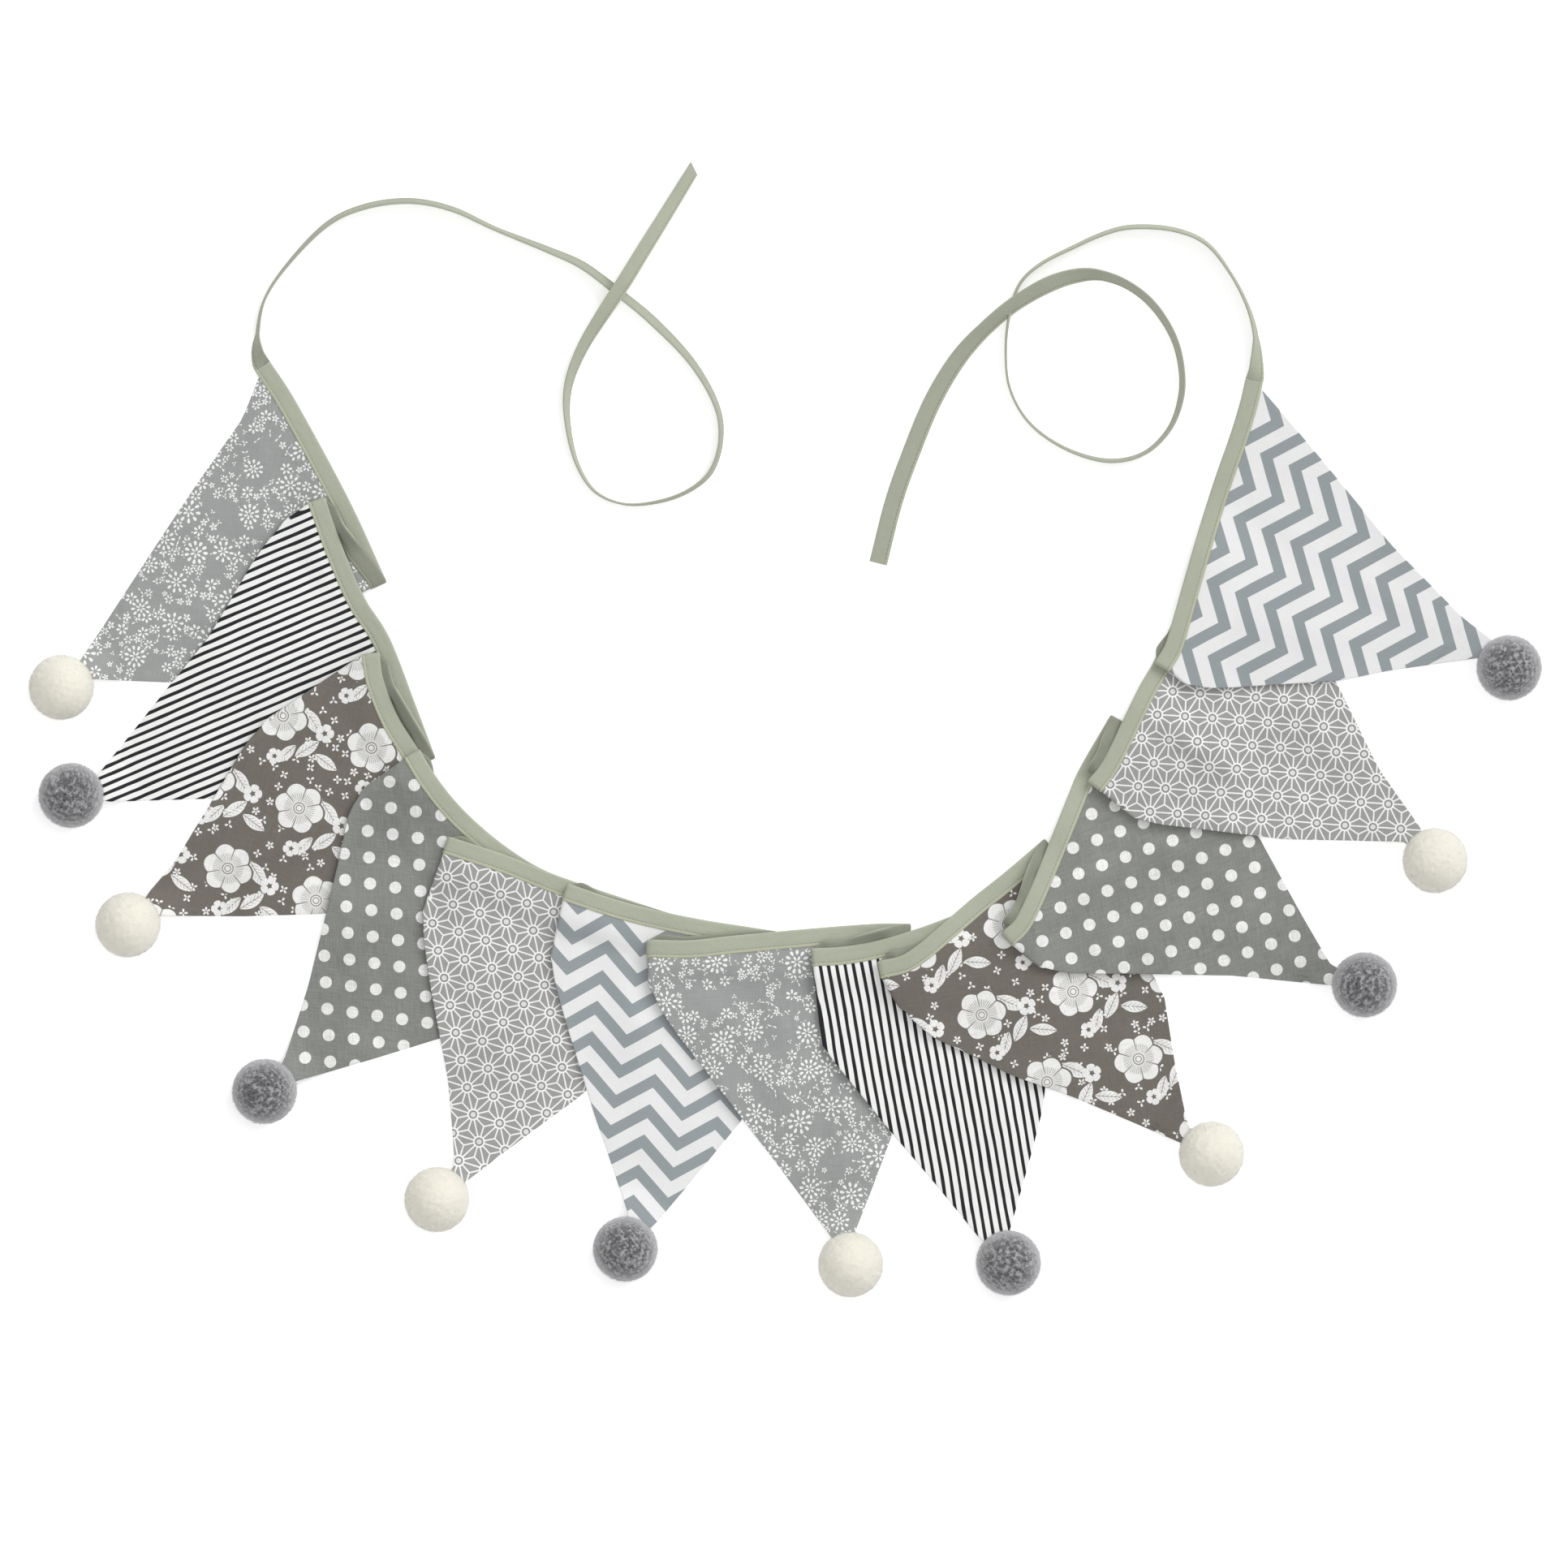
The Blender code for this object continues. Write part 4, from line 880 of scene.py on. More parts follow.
    def main_heights(self, spots, _drops):
        """Height of the middle of the cloth, which climbs to its pompom and has its creases."""
        resting = self.thick / 2 + self.bunting.pile(self.layer, spots)
        along = (spots - self.middle) @ self.axis
        climbing = POMPOM_MIDDLE - math.tan(TIP_TILT) * along
        return np.where(along < TIP_CLIMB, np.maximum(resting, climbing), resting)

    def flaps(self, free, descending):
        """Shares of the free width of a corner that is turned under, one for each column."""
        count = max(1, math.ceil(free / self.grid))
        shares = [(step + 1) / count for step in range(count)]
        return shares[::-1] if descending else shares

    def build(self):
        """All columns in order, each with the frame that it has in the binding."""
        bunting = self.bunting
        run = bunting.runs[self.index]
        arc = math.pi * FOLD_RADIUS
        left = CORNER_CUT
        right = self.width - CORNER_CUT
        if self.pennant.left_folded:
            back = bunting.returns[self.index - 1]
            free = self.under - arc - CORNER_CUT
            for share in self.flaps(free, descending=True) + [0.0]:
                reach = FOLD_RADIUS + share * free
                frame = bunting.level(back, self.layer - 1, back.length - reach, flipped=True)
                self.add_flap(frame, self.under - arc - share * free, True, reach)
            turn = bunting.fold(back, self.layer - 1, flipped=True)
            for angle, frame in zip(FOLD_ANGLES, turn):
                self.add_turn(frame, self.under - arc + FOLD_RADIUS * angle, True, angle)
            left = self.under
        if self.pennant.right_folded:
            right = self.width - self.over
        offset = left - (FOLD_RADIUS if self.pennant.left_folded else CORNER_CUT)
        self.main_from = len(self.columns)
        columns = max(self.FEWEST_COLUMNS, round((right - left) / self.grid))
        for flat in np.linspace(left, right, columns):
            frame = bunting.level(run, self.layer, flat - offset)
            self.add_column(frame, flat, lambda drops, flat=flat: self.main_spots(flat, drops),
                            self.main_heights)
        self.main_to = len(self.columns)
        if self.pennant.right_folded:
            back = bunting.returns[self.index]
            free = self.over - arc - CORNER_CUT
            turn = bunting.fold(run, self.layer, flipped=False)
            for angle, frame in zip(FOLD_ANGLES, turn):
                self.add_turn(frame, self.width - self.over + FOLD_RADIUS * angle, False, angle)
            for share in [0.0] + self.flaps(free, descending=False):
                reach = FOLD_RADIUS + share * free
                frame = bunting.level(back, self.layer + 1, reach, flipped=True)
                flat = self.width - self.over + arc + share * free
                self.add_flap(frame, flat, False, reach)
        return self

    def grids(self):
        """Points, upward normals, and flat and print places of the whole grid."""
        points = np.array(self.columns)
        prints = self.print_places(points)
        flats = np.array([np.column_stack([np.full(len(drops), flat - self.width / 2), drops])
                          for flat, drops in self.flats])
        self.crease(points, flats)
        normals = np.cross(np.gradient(points, axis=0), np.gradient(points, axis=1))
        normals /= np.maximum(np.linalg.norm(normals, axis=2, keepdims=True), TINY)
        held = np.array([frame.normal for frame in self.frames])
        middle = (self.main_from + self.main_to) // 2
        if normals[middle, ROWS_IN_SLOT + self.FACE_ROW] @ held[middle] < 0:
            normals = -normals
        normals[:, :ROWS_IN_SLOT] = held[:, None, :]
        return points, normals, flats, prints

    def print_places(self, points):
        """Places in the print, which lies in the plan and carries on round the folds."""
        prints = points[..., :2] * (1.0, -1.0)
        first = self.main_from
        last = self.main_to - 1
        for edge, inner, columns in (
                (first, first + self.PRINT_COLUMNS, range(first)),
                (last, last - self.PRINT_COLUMNS, range(last + 1, len(points)))):
            outward = unit_rows(prints[edge] - prints[inner])
            for column in columns:
                reach = abs(self.flats[column][0] - self.flats[edge][0])
                prints[column] = prints[edge] + outward * reach
        return prints

    def crease(self, points, flats):
        """Raises the main creases where nothing lies on the cloth."""
        main = slice(self.main_from, self.main_to)
        places = flats[main]
        height = self.RIPPLE * ripple(places, seed=self.index)
        for crease in CREASES:
            if crease.pennant == self.index + 1:
                height += hill(places, crease)
        spots = points[main][..., :2]
        open_share = 1.0 - self.bunting.cover(self.layer, spots.reshape(-1, 2))
        height *= open_share.reshape(height.shape)
        height *= smooth((places[..., 1] - SLOT_DEPTH) / self.CREASE_START)
        columns = np.arange(height.shape[0])
        from_side = np.minimum(columns, columns[::-1]) * self.grid
        height *= smooth(from_side / self.CREASE_ASIDE)[:, None]
        points[main, :, 2] += height


# ---------------------------------------------------------------- meshes


def finish_mesh(name, points, faces, uvs, material):
    """A smooth mesh object at the origin; its flat places, if given, go to a UV map, cloth."""
    mesh = bpy.data.meshes.new(name)
    mesh.from_pydata([tuple(point) for point in points], [], faces)
    if uvs is not None:
        layer = mesh.uv_layers.new(name="cloth")
        corners = np.empty(len(mesh.loops), dtype=np.int32)
        mesh.loops.foreach_get("vertex_index", corners)
        layer.data.foreach_set("uv", np.asarray(uvs, dtype=np.float32)[corners].ravel())
    mesh.shade_smooth()
    mesh.materials.append(material)
    mesh.validate()
    thing = bpy.data.objects.new(name, mesh)
    bpy.context.collection.objects.link(thing)
    return thing


def add_attribute(thing, name, values):
    """A number at each point, which a material can read."""
    thing.data.attributes.new(name, "FLOAT", "POINT").data.foreach_set("value", values)


def point_outwards(thing):
    """Turns the faces of a closed mesh to its outside."""
    bm = bmesh.new()
    bm.from_mesh(thing.data)
    bmesh.ops.recalc_face_normals(bm, faces=bm.faces)
    if bm.calc_volume(signed=True) < 0.0:
        bmesh.ops.reverse_faces(bm, faces=bm.faces)
    bm.to_mesh(thing.data)
    bm.free()


def grid_faces(columns, rows, first=0, flip=False):
    """Quads of a grid whose points are stored column by column."""
    faces = []
    for column in range(columns - 1):
        for row in range(rows - 1):
            corner = first + column * rows + row
            quad = (corner, corner + 1, corner + rows + 1, corner + rows)
            faces.append(quad[::-1] if flip else quad)
    return faces


def thick_cloth(name, cloth, material):
    """A closed sheet with rounded hems on a pennant's grid."""
    points, normals, flats, prints = cloth.grids()
    columns, rows = points.shape[:2]
    half = np.full((columns, rows), cloth.thick / 2)
    to_hem = flats[:, -1:, 1] - flats[..., 1]
    near = np.clip(to_hem / HEM_ROUNDING, 0.0, 1.0)
    half *= HEM_THIN + (1.0 - HEM_THIN) * np.sqrt(1.0 - (1.0 - near) ** 2)
    top = (points + normals * half[..., None]).reshape(-1, 3)
    bottom = (points - normals * half[..., None]).reshape(-1, 3)
    count = columns * rows
    faces = grid_faces(columns, rows) + grid_faces(columns, rows, first=count, flip=True)
    rim = [column * rows for column in range(columns)]
    rim += [(columns - 1) * rows + row for row in range(1, rows)]
    rim += [column * rows + rows - 1 for column in range(columns - 2, -1, -1)]
    rim += [row for row in range(rows - 2, 0, -1)]
    for here, onward in zip(rim, rim[1:] + rim[:1]):
        faces.append((here, onward, onward + count, here + count))
    uvs = np.vstack([prints.reshape(-1, 2)] * 2)
    thing = finish_mesh(name, in_row(np.vstack([top, bottom])), faces, uvs, material)
    point_outwards(thing)
    return thing


def tape_section(width, thick, slot_depth, slot_thick, inset):
    """Half round fold, flat faces with a sewn groove, and two lips: (across, up) all round."""
    edge = width / 2
    skin = thick / 2
    crown = []
    for angle in np.linspace(math.pi / 2, 3 * math.pi / 2, CROWN_STEPS)[1:-1]:
        crown.append((-edge + skin + skin * math.cos(angle), skin * math.sin(angle)))
    lip = skin * LIP_SHARE
    groove = skin * GROOVE_SHARE
    sewn = edge - inset
    beside_fold = skin * 0.96
    middle = skin * 0.93
    beside_seam = skin * 0.97
    at_lip = skin * 0.94
    face = [
        (-edge + skin, skin),
        (-edge * 0.45, beside_fold),
        (0.0, middle),
        (sewn - SEAM_HALF, beside_seam),
        (sewn - SEAM_PINCH, skin - groove),
        (sewn, skin - SEAM_DEEPEST * groove),
        (sewn + SEAM_PINCH, skin - groove),
        (sewn + SEAM_HALF, beside_seam),
        (edge - lip, at_lip),
        (edge, at_lip - lip),
    ]
    if slot_depth:
        gap = slot_thick / 2
        face += [(edge, gap + LIP_BEVEL / 2), (edge - LIP_BEVEL, gap), (edge - slot_depth, gap)]
    mirrored = [(across, -up) for across, up in face[::-1]]
    return face + mirrored + crown[::-1]


def frame_arrays(frames):
    """The places, ways down and normals of frames."""
    return [np.array(column) for column in zip(*frames)]


def sweep(name, frames, section, material, slant=0.0):
    """A closed tape with the same section at each frame, and its far end cut on a slant.

    The point attribute back is 1 on the half of the tape that faces against its normals,
    where the tape's material puts painted shade.
    """
    places, downs, normals = frame_arrays(frames)
    along = lengths_along(places)
    across, up = np.array(section).T
    points = (places[:, None] + downs[:, None] * across[None, :, None]
              + normals[:, None] * up[None, :, None])
    points[-1] -= unit(places[-1] - places[-2]) * (across * slant)[:, None]
    points = points.reshape(-1, 3)
    around = len(section)
    faces = []
    for ring in range(len(frames) - 1):
        for corner in range(around):
            beside = (corner + 1) % around
            here = ring * around
            faces.append((here + corner, here + beside,
                          here + around + beside, here + around + corner))
    last = (len(frames) - 1) * around
    faces.append(tuple(range(around))[::-1])
    faces.append(tuple(last + corner for corner in range(around)))
    uvs = np.column_stack([np.repeat(along, around), np.tile(across, len(frames))])
    thing = finish_mesh(name, in_row(points), faces, uvs, material)
    point_outwards(thing)
    add_attribute(thing, "back", np.tile((up < 0).astype(np.float32), len(frames)))
    thing.data.set_sharp_from_angle(angle=SHARP_EDGE)
    return thing


def deselect():
    """An operator acts on all that is selected, so nothing stays so."""
    for thing in bpy.context.selected_objects:
        thing.select_set(False)


def made_primitive(add, **settings):
    """A primitive's points and faces, in the same order each run; the primitive is removed."""
    deselect()
    add(**settings)
    thing = bpy.context.object
    points = np.array([tuple(vert.co) for vert in thing.data.vertices]) + np.array(thing.location)
    faces = sorted(tuple(face.vertices) for face in thing.data.polygons)
    mesh = thing.data
    bpy.data.objects.remove(thing)
    bpy.data.meshes.remove(mesh)
    return points, faces


def copies(points, faces, places, axes):
    """Copies of a shape: axes holds three rows for each, along its x, y and z."""
    moved = (np.einsum("pk,nkc->npc", points, axes) + places[:, None, :]).reshape(-1, 3)
    block = len(points)
    joined = [tuple(corner + block * copy for corner in face)
              for copy in range(len(places)) for face in faces]
    return moved, joined


def stitch_row(name, frames, sizes, thick, inset, material):
    """Thread along both faces of a tape, one small bead for each stitch."""
    places, downs, normals = frame_arrays(frames)
    sewn = places + downs * (TAPE_WIDTH / 2 - inset)
    along = lengths_along(sewn)
    bead, faces = made_primitive(bpy.ops.mesh.primitive_uv_sphere_add, segments=5, ring_count=4,
                                 radius=0.5)
    bead = bead[:, [2, 1, 0]] * (sizes.stitch_length, sizes.thread, sizes.thread)
    faces = [face[::-1] for face in faces]      # swapping two axes turned them inside out
    stops = np.arange(sizes.stitch_pitch, along[-1] - sizes.stitch_pitch, sizes.stitch_pitch)

    def read(values, at):
        return np.column_stack([np.interp(at, along, values[:, axis]) for axis in range(3)])

    middle = read(sewn, stops)
    half = sizes.stitch_length / 2
    ahead = unit_rows(read(sewn, stops + half) - read(sewn, stops - half))
    up = read(normals, stops)
    up = unit_rows(up - ahead * np.sum(up * ahead, axis=1, keepdims=True))
    side = np.cross(up, ahead)
    axes = np.stack([ahead, side, up], axis=1)
    height = thick / 2 * STITCH_SHARE
    spots = np.vstack([middle + up * height, middle - up * height])
    points, joined = copies(bead, faces, spots, np.concatenate([axes, axes]))
    return finish_mesh(name, in_row(points), joined, None, material)


def strand_shape(thick):
    """One strand of yarn: a slim three-sided cone, unit long."""
    return made_primitive(bpy.ops.mesh.primitive_cone_add, vertices=3, radius1=thick / 2,
                          radius2=0.0, depth=1.0, location=(0, 0, 0.5))


def spread_over_ball(count, random):
    """Directions spread evenly over a ball, each a little off its place."""
    steps = np.arange(count) + 0.5
    height = 1.0 - 2.0 * steps / count
    turn = math.pi * (1.0 + math.sqrt(5.0)) * steps
    ring = np.sqrt(1.0 - height ** 2)
    ways = np.column_stack([ring * np.cos(turn), ring * np.sin(turn), height])
    return unit_rows(ways + random.normal(0.0, STRAND_STRAY / math.sqrt(count), ways.shape))


def tufts(ways, random):
    """How far the yarn stands out in each direction, from 0 in a parting to 1 on a tuft."""
    height = np.zeros(len(ways))
    for _ in range(TUFT_WAVES):
        wave = unit(random.normal(size=3)) * random.uniform(*TUFT_FREQUENCY)
        height += np.sin(ways @ wave + random.uniform(0.0, 2 * math.pi))
    return smooth(0.5 + height / TUFT_WAVES * TUFT_CONTRAST)


def make_pompom(name, middle, seed, sizes, strand, material):
    """A ball of yarn: fine strands that stand out of a close, uneven heart."""
    random = np.random.default_rng(seed)
    wave_seed = random.integers(SEED_RANGE)
    heart, heart_faces = made_primitive(bpy.ops.mesh.primitive_ico_sphere_add, subdivisions=5,
                                        radius=1.0)
    raised = tufts(heart, np.random.default_rng(wave_seed))
    grain = random.uniform(-HEART_GRAIN, HEART_GRAIN, len(heart))
    heart *= (POMPOM_RADIUS * (HEART_REACH + TUFT_DEPTH * (raised - 1.0) + grain))[:, None]
    ways = spread_over_ball(sizes.strands, random)
    raised_there = tufts(ways, np.random.default_rng(wave_seed))
    reach = POMPOM_RADIUS * (random.uniform(*STRAND_REACH, len(ways))
                             + TUFT_DEPTH * (raised_there - 1.0))[:, None]
    lean = unit_rows(ways + random.normal(0.0, STRAND_LEAN, ways.shape))
    side = unit_rows(np.cross(lean, random.normal(size=ways.shape)))
    strand_line = lean * (reach - POMPOM_RADIUS * STRAND_FOOT)
    axes = np.stack([side, np.cross(lean, side), strand_line], axis=1)
    strands, joined = copies(*strand, ways * reach - strand_line, axes)
    joined = [tuple(corner + len(heart) for corner in face) for face in joined]
    everything = np.vstack([heart, strands])
    everything += np.array((*middle, POMPOM_MIDDLE))
    everything[:, 2] = np.maximum(everything[:, 2], FLOOR_GAP)
    ball = finish_mesh(name, in_row(everything), heart_faces + joined, None, material)
    # The pile, from 0 at a strand's root to 1 at its tip, sets the yarn's painted shade
    along_strand = strand[0][:, 2]
    add_attribute(ball, "pile",
                  np.concatenate([HEART_PILE * raised, np.tile(along_strand, len(ways))]))
    return ball


def tie_frames(points, start_frame, outward, down_side, step):
    """Rings along a tie, from the end of the binding to its free end."""
    first = start_frame.place + outward * END_GAP
    knots = [TiePoint(first[0], first[1], 0.0, TAPE_THICK / 2 - TIE_THICK / 2)] + points
    line = Path([knot[:2] for knot in knots])
    stops = [line.lengths[index * Path.SPAN_STEPS] for index in range(len(knots))]
    tilts = [math.radians(knot.tilt) for knot in knots]
    lifts = [knot.lift for knot in knots]
    frames = []
    for distance in np.linspace(0.0, line.length, round(line.length / step) + 1):
        place = line.at(distance)
        heading = line.heading(distance) if distance else np.array(outward[:2])
        angle = np.interp(distance, stops, tilts)
        flat = side_down(heading) * down_side
        down = np.array((*(flat * math.cos(angle)), -math.sin(angle)))
        height = (TAPE_WIDTH / 2 * math.sin(angle) + TIE_THICK / 2 * abs(math.cos(angle))
                  + np.interp(distance, stops, lifts))
        frames.append(Frame(np.array((*place, height)), down,
                            unit(np.cross(down, (*heading, 0.0)))))
    return frames, line.length


# ---------------------------------------------------------------- materials


FAR = 100.0           # whole repeats, so that no place comes before the first one
WHOLE_TURN = 6.28     # close enough for a chance turn, in radians


class Wire:
    """A number in a material's graph, reckoned with by Python's own operators."""

    def __init__(self, graph, socket):
        self.graph = graph
        self.socket = socket

    def __add__(self, other):
        return self.graph.math("ADD", self, other)

    def __radd__(self, other):
        return self.graph.math("ADD", other, self)

    def __sub__(self, other):
        return self.graph.math("SUBTRACT", self, other)

    def __rsub__(self, other):
        return self.graph.math("SUBTRACT", other, self)

    def __mul__(self, other):
        return self.graph.math("MULTIPLY", self, other)

    def __rmul__(self, other):
        return self.graph.math("MULTIPLY", other, self)

    def __truediv__(self, other):
        return self.graph.math("DIVIDE", self, other)

    def __abs__(self):
        return self.graph.math("ABSOLUTE", self)


class Graph:
    """A material's node graph."""

    SPECULAR = 0.25
    SHEEN_ROUGHNESS = 0.6

    def __init__(self, name, view_colour):
        self.material = bpy.data.materials.new(name)
        self.material.use_nodes = True
        self.material.diffuse_color = (*view_colour, 1.0)
        self.tree = self.material.node_tree
        self.shader = self.tree.nodes["Principled BSDF"]

    def node(self, kind, settings=None, values=None):
        """A node: its settings first, and then the values or links of its sockets."""
        node = self.tree.nodes.new(kind)
        for key, value in (settings or {}).items():
            setattr(node, key, value)
        for key, value in (values or {}).items():
            self.put(node.inputs[key], value)
        return node

    def put(self, socket, value):
        """Links a socket, or sets its value."""
        if isinstance(value, Wire):
            value = value.socket
        if isinstance(value, bpy.types.NodeSocket):
            self.tree.links.new(value, socket)
        elif socket.type == "RGBA" and len(value) == 3:
            socket.default_value = (*value, 1.0)
        else:
            socket.default_value = value

    def math(self, operation, *values):
        """A Math node's number."""
        node = self.node("ShaderNodeMath", {"operation": operation}, dict(enumerate(values)))
        return Wire(self, node.outputs[0])

    def step(self, low, high, value):
        """0 below low, 1 above high, and smooth between them."""
        node = self.node("ShaderNodeMapRange", {"interpolation_type": "SMOOTHSTEP"},
                         {"Value": value, "From Min": low, "From Max": high})
        return Wire(self, node.outputs["Result"])

    def inside(self, value, edge, blur):
        """1 where a value is under an edge."""
        return 1.0 - self.step(edge - blur, edge + blur, value)

    def vector(self, x, y, z=0.0):
        return self.node("ShaderNodeCombineXYZ", None, {0: x, 1: y, 2: z}).outputs[0]

    def parts(self, vector):
        node = self.node("ShaderNodeSeparateXYZ", None, {0: vector})
        return [Wire(self, socket) for socket in node.outputs]

    def mix(self, factor, first, second):
        """The first colour at factor 0, and the second at 1."""
        node = self.node("ShaderNodeMix", {"data_type": "RGBA"}, {0: factor, 6: first, 7: second})
        return node.outputs[2]

    def shade(self, colour_socket, factor):
        """A colour made darker or lighter by a number near 1."""
        grey = self.vector(factor, factor, factor)
        node = self.node("ShaderNodeVectorMath", {"operation": "MULTIPLY"},
                         {0: colour_socket, 1: grey})
        return node.outputs[0]

    def noise(self, vector, scale, detail=2.0):
        node = self.node("ShaderNodeTexNoise", {"noise_dimensions": "3D"},
                         {"Vector": vector, "Scale": scale, "Detail": detail})
        return Wire(self, node.outputs[0])

    def reach(self, dx, dy):
        """Distance from a middle."""
        return self.math("SQRT", dx * dx + dy * dy)

    def fraction(self, value, start=0.0):
        """How far a value is on from the whole number below it."""
        return self.math("FRACT", value + (FAR + start))

    def over(self, value, edge):
        """1 where a value is over an edge, with no blur."""
        return self.math("GREATER_THAN", value, edge)

    def either(self, *masks):
        """The highest of two or more masks."""
        highest = masks[0]
        for mask in masks[1:]:
            highest = self.math("MAXIMUM", highest, mask)
        return highest

    def attribute(self, name):
        node = self.node("ShaderNodeAttribute", {"attribute_name": name})
        return Wire(self, node.outputs["Fac"])

    def object_places(self):
        return self.node("ShaderNodeTexCoord").outputs["Object"]

    def flat_places(self, turn=0.0, lean=0.0):
        """Places in the cloth along its two sets of threads, in metres; angles in degrees."""
        uv = self.node("ShaderNodeUVMap", {"uv_map": "cloth"}).outputs[0]
        x, y, _ = self.parts(uv)
        first = math.radians(turn)
        second = math.radians(turn + lean)
        return (x * math.cos(first) + y * math.sin(first),
                y * math.cos(second) - x * math.sin(second))

    def finish(self, base, height=None, depth=0.0, roughness=0.9, sheen=0.0):
        """The finished material; depth is how deep a height of 1 is, in metres."""
        shader = self.shader
        self.put(shader.inputs["Base Color"], base)
        self.put(shader.inputs["Roughness"], roughness)
        shader.inputs["Specular IOR Level"].default_value = self.SPECULAR
        shader.inputs["Sheen Weight"].default_value = sheen
        shader.inputs["Sheen Roughness"].default_value = self.SHEEN_ROUGHNESS
        if height is not None:
            bump = self.node("ShaderNodeBump", None,
                             {"Strength": 1.0, "Distance": depth, "Height": height})
            self.put(shader.inputs["Normal"], bump.outputs[0])
        return self.material


# Scales of the noise that makes threads thick and thin, clouds the cloth and crowds flowers
THREAD_RUN = 90.0
THREAD_ACROSS = 1400.0
CLOUD_SCALE = 34.0
CROWD_SCALE = 46.0
CLOUD_SHARE = 0.8     # of the threads' strength


def woven(graph, x, y, pitch):
    """Height of a plain weave, from 0 to 1."""
    warp = graph.math("SINE", x * (math.pi / pitch))
    weft = graph.math("SINE", y * (math.pi / pitch))
    warp_over = graph.over(warp * weft, 0.0)
    return warp_over * abs(warp) + (1.0 - warp_over) * abs(weft)


def unevenness(graph, x, y, seed, strength):
    """Thick and thin threads both ways, and broad clouding: a number near 1."""
    along = graph.noise(graph.vector(x * THREAD_RUN, y * THREAD_ACROSS, seed), 1.0)
    across = graph.noise(graph.vector(x * THREAD_ACROSS, y * THREAD_RUN, seed + 7.0), 1.0)
    cloud = graph.noise(graph.vector(x, y, seed * 0.1), CLOUD_SCALE)
    return 1.0 + (along + across - 1.0) * strength + (cloud - 0.5) * (strength * CLOUD_SHARE)


def petals(graph, dx, dy, turn, count, radius, slim, inner, blur=0.10):
    """A ring of separate petals about a point: 1 on a petal.

    They start at inner and are slim to each side, both as shares of the radius.
    """
    fuller_outside = 0.30
    share = (graph.math("ARCTAN2", dy, dx) + turn) / (2 * math.pi)
    angle = (graph.fraction(share * count) - 0.5) * (2 * math.pi) / count
    reach = graph.reach(dx, dy)
    along = reach * graph.math("COSINE", angle)
    across = reach * graph.math("SINE", angle)
    centre = (1.0 + inner) / 2
    out = (along / radius - centre) / ((1.0 - inner) / 2)
    aside = across / (radius * slim) / (1.0 + out * fuller_outside)
    return graph.inside(out * out + aside * aside, 1.0, blur * 2)


def scatter(graph, x, y, cell, shift, stray=0.80):
    """Strewn places: offsets from the nearest one, its three random numbers and its crowd.

    The crowd is a slow number over the cloth, the same all over one place's shape.
    """
    node = graph.node("ShaderNodeTexVoronoi", {"voronoi_dimensions": "2D"},
                      {"Vector": graph.vector(x + shift, y + shift), "Scale": 1.0 / cell,
                       "Randomness": stray})
    px, py, _ = graph.parts(node.outputs["Position"])
    rolls = graph.parts(node.outputs["Color"])
    crowd = graph.noise(graph.vector(px - shift, py - shift, 3.0), CROWD_SCALE, detail=1.0)
    return x + shift - px, y + shift - py, rolls, crowd


def room_beside(graph, dx, dy, size, shown):
    """0 on a flower that shows and close about it, and else 1."""
    clear_reach = 1.10
    return 1.0 - shown * graph.inside(graph.reach(dx, dy) / size, clear_reach, 0.02)


def daisies(graph, x, y):
    """Daisies with an outer and an inner ring of petals, and the room that they leave."""
    cell = 0.0245
    shift = 0.67
    least_size = 0.0054
    size_range = 0.0022
    fewest_petals = 9.0
    dx, dy, (one, two, three), crowd = scatter(graph, x, y, cell, shift, stray=0.60)
    size = least_size + two * size_range
    shown = graph.over(crowd + two * 0.10, 0.45)
    count = graph.math("FLOOR", fewest_petals + one * 3.0)
    outer = petals(graph, dx, dy, three * WHOLE_TURN, count, size, 0.12, inner=0.58)
    heart = petals(graph, dx, dy, one * WHOLE_TURN, 6.0, size * 0.50, 0.17, inner=0.22)
    return graph.either(outer, heart) * shown, room_beside(graph, dx, dy, size, shown)


# One row for each kind of flower that is smaller than a daisy: small flowers, blossoms,
# stalks and buds.  cell is how far apart they are and shift sets their places.  One shows
# where the crowd is over its number, and where its own chance is over its rarity.
SmallFlower = namedtuple("SmallFlower", "cell shift petals size slim inner crowd rarity")
SMALL_FLOWERS = [
    SmallFlower(0.0098, 0.31, 6.0, 0.0031, 0.19, 0.30, 0.44, 0.22),
    SmallFlower(0.0072, 1.73, 5.0, 0.0021, 0.24, 0.16, 0.42, 0.40),
    SmallFlower(0.0062, 2.41, 2.0, 0.0024, 0.16, 0.10, 0.42, 0.50),
    SmallFlower(0.0052, 3.17, 3.0, 0.0017, 0.22, 0.12, 0.41, 0.58),
]


def ditsy_print(graph, x, y, colours):
    """Daisies in clusters, and smaller flowers in the room that larger ones leave."""
    least_size = 0.75
    size_range = 0.5
    mask, free = daisies(graph, x, y)
    for kind in SMALL_FLOWERS:
        dx, dy, (turn, scale, rare), crowd = scatter(graph, x, y, kind.cell, kind.shift)
        size = kind.size * (least_size + scale * size_range)
        flower = petals(graph, dx, dy, turn * WHOLE_TURN, kind.petals, size, kind.slim, kind.inner)
        shown = graph.over(crowd, kind.crowd) * graph.over(rare, kind.rarity)
        mask = graph.either(mask, flower * shown * free)
        free = free * room_beside(graph, dx, dy, size, shown)
    return graph.mix(mask, colours.ditsy[:], colours.white[:])


def stripe_print(graph, x, y, colours):
    """Dark stripes that waver a little."""
    pitch = 0.0051
    half = 0.00106
    waver = 0.0011
    wander = (graph.noise(graph.vector(x * 6.0, y, 1.0), 38.0) - 0.5) * waver
    place = abs(graph.fraction((x + wander) / pitch) - 0.5) * pitch
    dark = graph.inside(place, half, 0.00012)
    return graph.mix(dark, colours.white[:], colours.charcoal[:])


